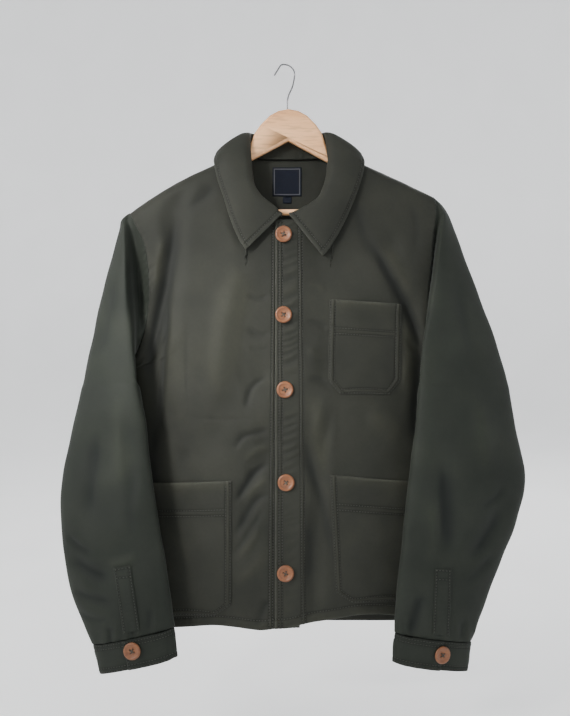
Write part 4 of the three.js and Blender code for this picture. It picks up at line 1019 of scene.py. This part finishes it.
def woven_label(name, field, border):
    """A woven label: a plain field of fine satin with a plain border."""
    material, nodes, links, shader = new_material(name)
    cut = nodes.new("ShaderNodeUVMap")
    cut.uv_map = "cut"
    weave = nodes.new("ShaderNodeTexWave")
    weave.bands_direction = "Y"
    weave.inputs["Scale"].default_value = 900
    links.new(cut.outputs["UV"], weave.inputs["Vector"])
    place = nodes.new("ShaderNodeTexCoord").outputs["Object"]
    yarn = noise(nodes, links, place, 420, 3)
    tone = ramp(nodes, links, yarn, (0.3, tuple(0.8 * x for x in field)), (0.7, field))
    links.new(mix(nodes, links, "MIX", attribute(nodes, "wear"), tone, border), shader.inputs["Base Color"])
    links.new(bump(nodes, links, weave.outputs["Fac"], 0.4, 0.0002), shader.inputs["Normal"])
    shader.inputs["Roughness"].default_value = 0.6
    shader.inputs["Specular IOR Level"].default_value = 0.15
    return material


LABEL = woven_label("woven_label", (0.002, 0.004, 0.011), (0.12, 0.12, 0.13))
TAB = woven_label("woven_tab", (0.0035, 0.006, 0.014), (0.012, 0.018, 0.036))
LABELS = {
    "neck_label": (
        [(-21.3, 16, -143.3), (21.4, 16, -143.3), (-21.3, 16, -186), (21.4, 16, -186)],
        (0.0427, 0.0427), LABEL),
    "size_tab": (
        [(-5.8, 17, -186.5), (6.7, 17, -186.5), (-5.8, 17, -196.3), (6.7, 17, -196.3)],
        (0.0125, 0.01), TAB),
}
for node, (corners, flat, material) in LABELS.items():
    grid = panel_grid(node, LABEL_WALL, corners, FRONT)
    grid = fine_grid(grid, (LABEL_LINES, LABEL_LINES, 1), (LABEL_LINES, LABEL_LINES, 1), curved=False)
    cloth = Cloth("cloth_" + node, spread_on(grid, back, LABEL_WALL, 0.35, -CLOTH), FRONT)
    edge = np.minimum(np.minimum(cloth.left, cloth.right), np.minimum(cloth.top, cloth.bottom))
    cloth.lift(rolled(edge, LABEL_WALL, 1.2) + 0.25 * hills(cloth.at, 18, 13))
    cloth.wear = np.exp(-(((edge - 2.6) / 0.45) ** 2)) if node == "neck_label" else 0 * edge
    declare(cloth_mesh(cloth, LABEL_WALL, material), node, flat, None, ["cloth_back"])

# %% [markdown]
# The buttons are turned from a reddish wood: a raised rounded rim, a dished middle and four holes,
# sewn on with dark thread that crosses from hole to hole.

# %% Buttons
def grained(name, dark, light, scale, rough, coat=0.0):
    """Wood with long grain along X."""
    material, nodes, links, shader = new_material(name)
    place = nodes.new("ShaderNodeTexCoord").outputs["Object"]
    long = nodes.new("ShaderNodeMapping")
    long.inputs["Scale"].default_value = (0.12, 1, 1)
    links.new(place, long.inputs["Vector"])
    grain = noise(nodes, links, long.outputs["Vector"], scale, 6, 0.65)
    pores = noise(nodes, links, long.outputs["Vector"], scale * 9, 2, 0.5)
    color = ramp(nodes, links, grain, (0.3, dark), (0.72, light))
    color = mix(nodes, links, "MULTIPLY", 0.35, color, ramp(
        nodes, links, pores, (0.36, (0.45, 0.4, 0.36)), (0.5, (1, 1, 1))))
    links.new(color, shader.inputs["Base Color"])
    links.new(calculate(nodes, links, "MULTIPLY_ADD", grain, 0.2, rough), shader.inputs["Roughness"])
    links.new(bump(nodes, links, pores, 0.12, 0.0003), shader.inputs["Normal"])
    shader.inputs["Coat Weight"].default_value = coat
    shader.inputs["Coat Roughness"].default_value = 0.25
    return material


BUTTON_WOOD = grained("button_wood", (0.11, 0.034, 0.01), (0.22, 0.08, 0.024), 260, 0.42, 0.12)
BUTTON_PROFILE = [
    (0, 0), (8.6, 0), (10.6, 0.5), (11.6, 1.5), (11.8, 2.4), (11.5, 3.3), (10.7, 4.0), (9.7, 4.2),
    (8.8, 3.95), (8.1, 3.3), (7.2, 2.75), (5.6, 2.5), (0, 2.4)]


def plain_material(name, color, rough, metallic=0.0, size=900, depth=0.3):
    """A colour with a fine uneven grain."""
    material, nodes, links, shader = new_material(name)
    place = nodes.new("ShaderNodeTexCoord").outputs["Object"]
    grain = noise(nodes, links, place, size, 3)
    pale = tuple(min(1.15 * x, 1) for x in color)
    tone = ramp(nodes, links, grain, (0.3, tuple(0.75 * x for x in color)), (0.7, pale))
    links.new(tone, shader.inputs["Base Color"])
    links.new(calculate(nodes, links, "MULTIPLY_ADD", grain, 0.15, rough), shader.inputs["Roughness"])
    links.new(bump(nodes, links, grain, depth, 0.0002), shader.inputs["Normal"])
    shader.inputs["Metallic"].default_value = metallic
    return material


THREAD = plain_material("thread", (0.042, 0.044, 0.035), 0.75)


def turned_mesh(profile, segments):
    """A mesh turned round the Z axis; the profile runs from axis to axis, in millimetres."""
    bm = bmesh.new()
    rings = []
    for radius, high in profile:
        if radius == 0:
            rings.append([bm.verts.new((0, 0, high * MM))])
            continue
        turns = [2 * math.pi * k / segments for k in range(segments)]
        ring = [(radius * MM * math.cos(t), radius * MM * math.sin(t), high * MM) for t in turns]
        rings.append([bm.verts.new(point) for point in ring])
    for low, high in zip(rings[:-1], rings[1:], strict=True):
        for k in range(segments):
            corners = [low[k % len(low)], low[(k + 1) % len(low)],
                       high[(k + 1) % len(high)], high[k % len(high)]]
            bm.faces.new(list(dict.fromkeys(corners)))
    bmesh.ops.recalc_face_normals(bm, faces=bm.faces)
    mesh = bpy.data.meshes.new("turned")
    bm.to_mesh(mesh)
    bm.free()
    return mesh


def button_mesh():
    button = link("raw", turned_mesh(BUTTON_PROFILE, 64))
    drills = []
    for k in range(4):
        turn = math.radians(45 + 90 * k)
        drill = link("drill", turned_mesh([(0, -2), (1.15, -2), (1.15, 8), (0, 8)], 16))
        drill.data.transform(Matrix.Translation((2.9 * MM * math.cos(turn), 2.9 * MM * math.sin(turn), 0)))
        cut = button.modifiers.new("hole", "BOOLEAN")
        cut.object = drill
        cut.solver = "EXACT"
        drills.append(drill)
    made = baked(button, "button_pattern")
    for drill in drills:
        bpy.data.objects.remove(drill)
    mesh = made.data
    bpy.data.objects.remove(made)
    mesh.materials.clear()
    mesh.materials.append(BUTTON_WOOD)
    return mesh


def sewing_thread(name, lines, radius=0.28):
    """Thread along lines in millimetres, as one mesh of thin tubes."""
    curve = bpy.data.curves.new(name, "CURVE")
    curve.dimensions = "3D"
    curve.bevel_depth = radius * MM
    curve.bevel_resolution = 1
    curve.use_fill_caps = True
    for line in lines:
        spline = curve.splines.new("POLY")
        spline.points.add(len(line) - 1)
        for point, place in zip(spline.points, line, strict=True):
            point.co = (*(np.array(place) * MM), 1)
    made = baked(link("raw", curve), name)
    made.data.materials.clear()
    made.data.materials.append(THREAD)
    return made


BUTTONS = {
    "button_1": (-5, -249, "front_over"), "button_2": (-5, -363.4, "front_over"),
    "button_3": (-2.9, -468.7, "front_over"), "button_4": (-1.5, -598, "front_over"),
    "button_5": (-2.2, -723.4, "front_over"), "cuff_button_left": (-208.2, -818, "cuff_left"),
    "cuff_button_right": (208.5, -824.3, "cuff_right"),
}
THREAD_STEPS = (-1, -0.9, -0.5, 0, 0.5, 0.9, 1)
PATTERN = button_mesh()
print("a button has", len(PATTERN.polygons), "faces")
for k, (node, (x, z, under)) in enumerate(BUTTONS.items()):
    surface = surface_of({**fronts, **cuffs}[under])
    ring = [(x + 9 * math.cos(t), z + 9 * math.sin(t)) for t in np.arange(0, 6.2, 0.7)]
    rim = np.array([(a, depth_at(surface, a, b) or np.nan, b) for a, b in ring])
    rim = rim[np.isfinite(rim[:, 1])]
    slope = np.linalg.lstsq(np.c_[rim[:, 0] - x, rim[:, 2] - z, np.ones(len(rim))], rim[:, 1], rcond=None)[0]
    out = Vector((slope[0], -1, slope[1])).normalized()
    turn = out.to_track_quat("Z", "Y").to_matrix().to_4x4()
    turn = turn @ Matrix.Rotation(0.5 * math.sin(5 * k + 1), 4, "Z")
    foot = Vector((x, slope[2] - 0.6, z)) * MM
    place = Matrix.Translation(foot) @ turn
    mesh = PATTERN.copy()
    mesh.transform(place)
    made = link("wood_" + node, mesh)
    mesh.shade_smooth()
    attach(made, "root")
    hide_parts(node)
    lines = []
    for corner in (45, 135):
        c, s = math.cos(math.radians(corner)), math.sin(math.radians(corner))
        for aside in (-0.42, 0, 0.42):
            arc = [(2.9 * t, 3.1 + 0.4 * (1 - t * t) + 0.25 * (corner == 135)) for t in THREAD_STEPS]
            arc = [(-2.9, 1.2), *arc, (2.9, 1.2)]
            arc = [Vector((r * c - aside * s, r * s + aside * c, h)) * MM for r, h in arc]
            lines.append([np.array(place @ point) / MM for point in arc])
    thread = sewing_thread("thread_" + node, lines)
    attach(thread, "root")

# %% [markdown]
# The hanger is cut from a flat board 12 mm thick, in a dome at the middle and two sloping arms, with its
# edges rounded over. A round bar joins the arms, and a steel wire hook is screwed into the dome.

# %% The hanger
HANGER_WOOD = grained("hanger_wood", (0.66, 0.33, 0.14), (0.88, 0.52, 0.27), 34, 0.36, 0.3)
STEEL = plain_material("hook_steel", (0.2, 0.2, 0.21), 0.25, 1.0, 700, 0.1)


def finished_copy(node, name, material, width=0.0, levels=0):
    """A copy of a node's mesh, merged, with rounded edges or a smoother form."""
    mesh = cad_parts[node].data.copy()
    bm = bmesh.new()
    bm.from_mesh(mesh)
    bmesh.ops.remove_doubles(bm, verts=bm.verts, dist=WELD)
    bmesh.ops.join_triangles(bm, faces=bm.faces, angle_face_threshold=0.5, angle_shape_threshold=0.9)
    bm.to_mesh(mesh)
    bm.free()
    mesh.materials.clear()
    mesh.materials.append(material)
    raw = link("raw", mesh)
    if width:
        rounding = raw.modifiers.new("rounding", "BEVEL")
        rounding.width = width * MM
        rounding.segments = 3
        rounding.limit_method = "ANGLE"
        rounding.angle_limit = math.radians(25)
    if levels:
        smoothing = raw.modifiers.new("smoothing", "SUBSURF")
        smoothing.levels = smoothing.render_levels = levels
    made = baked(raw, name)
    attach(made, "root")
    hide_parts(node)
    return made


finished_copy("hanger_wood", "hanger_board", HANGER_WOOD, width=0.9)
finished_copy("hanger_bar", "hanger_rail", HANGER_WOOD, width=0.6)
finished_copy("hanger_hook", "hook_wire", STEEL, levels=1)

# %% [markdown]
# Every visible seam is sewn in the cloth's colour, about six stitches to 25 mm. One small thread
# shape is set along each line, turned with the line and the cloth, and no two lie quite alike.

# %% Stitches
STITCH_PITCH = 4.0
STITCH_INPUTS = [
    ("Pitch", "Float", STITCH_PITCH * MM), ("Length", "Float", 2.9 * MM),
    ("Thickness", "Float", 0.85 * MM), ("Unevenness", "Float", 0.09), ("Seed", "Int", 5)]


STITCH_NODES = {
    "given": ("NodeGroupInput", {}, {}),
    "curve": ("GeometryNodeMeshToCurve", {}, {}),
    "even": ("GeometryNodeResampleCurve", {"mode": "LENGTH"}, {}),
    "bead": ("GeometryNodeMeshUVSphere", {}, {"Segments": 6, "Rings": 4, "Radius": 0.5}),
    "size": ("ShaderNodeCombineXYZ", {}, {}),
    "tangent": ("GeometryNodeInputTangent", {}, {}),
    "along": ("FunctionNodeAlignRotationToVector", {"axis": "X"}, {}),
    "out": ("GeometryNodeInputNamedAttribute", {"data_type": "FLOAT_VECTOR"}, {"Name": "out"}),
    "upright": ("FunctionNodeAlignRotationToVector", {"axis": "Z", "pivot_axis": "X"}, {}),
    "placed": ("GeometryNodeInstanceOnPoints", {}, {}),
    "least": ("ShaderNodeMath", {"operation": "MULTIPLY"}, {1: -1}),
    "uneven": ("FunctionNodeRandomValue", {"data_type": "FLOAT"}, {}),
    "swing": ("ShaderNodeCombineXYZ", {}, {}),
    "turn": ("GeometryNodeRotateInstances", {}, {}),
    "real": ("GeometryNodeRealizeInstances", {}, {}),
    "dressed": ("GeometryNodeSetMaterial", {}, {"Material": THREAD}),
    "result": ("NodeGroupOutput", {}, {}),
}
STITCH_LINKS = [
    ("given", "Geometry", "curve", "Mesh"), ("curve", "Curve", "even", "Curve"),
    ("given", "Pitch", "even", "Length"), ("given", "Length", "size", "X"),
    ("given", "Thickness", "size", "Y"), ("given", "Thickness", "size", "Z"),
    ("tangent", "Tangent", "along", "Vector"), ("along", "Rotation", "upright", "Rotation"),
    ("out", "Attribute", "upright", "Vector"), ("even", "Curve", "placed", "Points"),
    ("bead", "Mesh", "placed", "Instance"), ("upright", "Rotation", "placed", "Rotation"),
    ("size", "Vector", "placed", "Scale"), ("given", "Unevenness", "least", 0),
    ("least", "Value", "uneven", 2), ("given", "Unevenness", "uneven", 3),
    ("given", "Seed", "uneven", "Seed"), ("uneven", 1, "swing", "Z"),
    ("placed", "Instances", "turn", "Instances"), ("swing", "Vector", "turn", "Rotation"),
    ("turn", "Instances", "real", "Geometry"), ("real", "Geometry", "dressed", "Geometry"),
    ("dressed", "Geometry", "result", "Geometry"),
]


def stitch_tree():
    tree = bpy.data.node_groups.new("stitching", "GeometryNodeTree")
    tree.interface.new_socket("Geometry", in_out="INPUT", socket_type="NodeSocketGeometry")
    for label, kind, value in STITCH_INPUTS:
        socket = tree.interface.new_socket(label, in_out="INPUT", socket_type="NodeSocket" + kind)
        socket.default_value = value
    tree.interface.new_socket("Geometry", in_out="OUTPUT", socket_type="NodeSocketGeometry")
    nodes = {}
    for name, (kind, settings, values) in STITCH_NODES.items():
        nodes[name] = tree.nodes.new(kind)
        for key, value in settings.items():
            setattr(nodes[name], key, value)
        for key, value in values.items():
            nodes[name].inputs[key].default_value = value
    for source, given, target, taken in STITCH_LINKS:
        tree.links.new(nodes[source].outputs[given], nodes[target].inputs[taken])
    return tree


STITCHING = stitch_tree()


def sew(name, lines, seed):
    """Rows of stitches along lines of points with the cloth's normals, in millimetres."""
    mesh = bpy.data.meshes.new("lines")
    starts = np.cumsum([0] + [len(line) for line in lines])
    spans = zip(starts[:-1], starts[1:], strict=True)
    edges = [(a, a + 1) for start, end in spans for a in range(start, end - 1)]
    points = np.concatenate(lines)
    mesh.from_pydata(((points[:, :3] + 0.12 * points[:, 3:]) * MM).tolist(), edges, [])
    normals = points[:, 3:].ravel().astype(np.float32)
    mesh.attributes.new("out", "FLOAT_VECTOR", "POINT").data.foreach_set("vector", normals)
    raw = link("raw", mesh)
    sewing = raw.modifiers.new("stitching", "NODES")
    sewing.node_group = STITCHING
    items = STITCHING.interface.items_tree
    sockets = {item.name: item.identifier for item in items if item.in_out == "INPUT"}
    sewing[sockets["Seed"]] = seed
    sewing[sockets["Pitch"]] = STITCH_PITCH * MM
    made = baked(raw, name)
    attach(made, "root")
    sewn = round(sum(lengths_down(line[:, None, :3])[-1, 0] for line in lines))
    print(name, "of", sewn, "mm,", len(made.data.polygons), "faces")
    return made


threads = {name: sew(name.replace("cloth_", "stitches_"), lines, 3 + k)
           for k, (name, lines) in enumerate(seams.items())}

# %% [markdown]
# The size that each sheet of cloth is cut to before it is sewn is printed.

# %% Cut sizes
for made, flat, area, rests_on in sheets:
    sewn = [threads[made.name]] if made.name in threads else []
    print(made.name, "cut to", flat)

# %% [markdown]
# A camera at the height and distance from which the photograph shows the jacket, five soft lights and
# a pale floor that curves up all round.

# %% Camera and light
camera_data = bpy.data.cameras.new("camera")
camera_data.sensor_fit = "HORIZONTAL"
camera_data.sensor_width = 36
camera_data.lens = 48.42
camera = link("camera", camera_data)
camera.location = (-2.9 * MM, -1114 * MM, -424.3 * MM)
camera.rotation_euler = (math.radians(90), 0, 0)
bpy.context.scene.camera = camera


def soft_light(name, place, aim, size, watts, color=(1, 1, 1), spread=math.pi):
    data = bpy.data.lights.new(name, "AREA")
    data.shape = "DISK"
    data.size = size
    data.energy = watts
    data.color = color
    data.spread = spread
    light = link(name, data)
    light.location = place
    light.rotation_euler = (Vector(aim) - Vector(place)).to_track_quat("-Z", "Y").to_euler()
    return light


middle = (0, 0, -0.45)
lights = [
    soft_light("key", (-1.9, -0.95, 0.9), middle, 0.8, 34, (1, 0.985, 0.96)),
    soft_light("pool", (-1.0, -1.3, 0.25), (-0.1, 0, -0.4), 0.35, 1.6, (1, 0.985, 0.96), 0.5),
    soft_light("fill", (2.1, -2.0, 0.1), middle, 1.8, 3, (0.95, 0.97, 1)),
    soft_light("top", (0.2, -0.6, 1.9), middle, 1.2, 9),
    soft_light("rim", (0.6, 2.2, 1.3), middle, 1.4, 50),
]
world = bpy.data.worlds.new("pale_room")
world.use_nodes = True
world.node_tree.nodes["Background"].inputs["Color"].default_value = (0.8, 0.82, 0.85, 1)
world.node_tree.nodes["Background"].inputs["Strength"].default_value = 0.36
bpy.context.scene.world = world

BOWL = [(0, -980), (1500, -980), (2600, -980), (3500, -930), (4200, -760), (4700, -430), (4950, 60),
        (5000, 700), (5000, 4200)]
bowl_mesh = turned_mesh(BOWL, 96)
bowl_mesh.flip_normals()
bowl_mesh.shade_smooth()
plaster, nodes, links, shader = new_material("pale_plaster")
grain = noise(nodes, links, nodes.new("ShaderNodeTexCoord").outputs["Object"], 5, 2)
tone = ramp(nodes, links, grain, (0.3, (0.74, 0.745, 0.75)), (0.7, (0.77, 0.775, 0.78)))
links.new(tone, shader.inputs["Base Color"])
links.new(tone, shader.inputs["Emission Color"])
shader.inputs["Emission Strength"].default_value = 0.62
shader.inputs["Roughness"].default_value = 0.9
bowl_mesh.materials.append(plaster)
bowl = link("pale_floor", bowl_mesh)
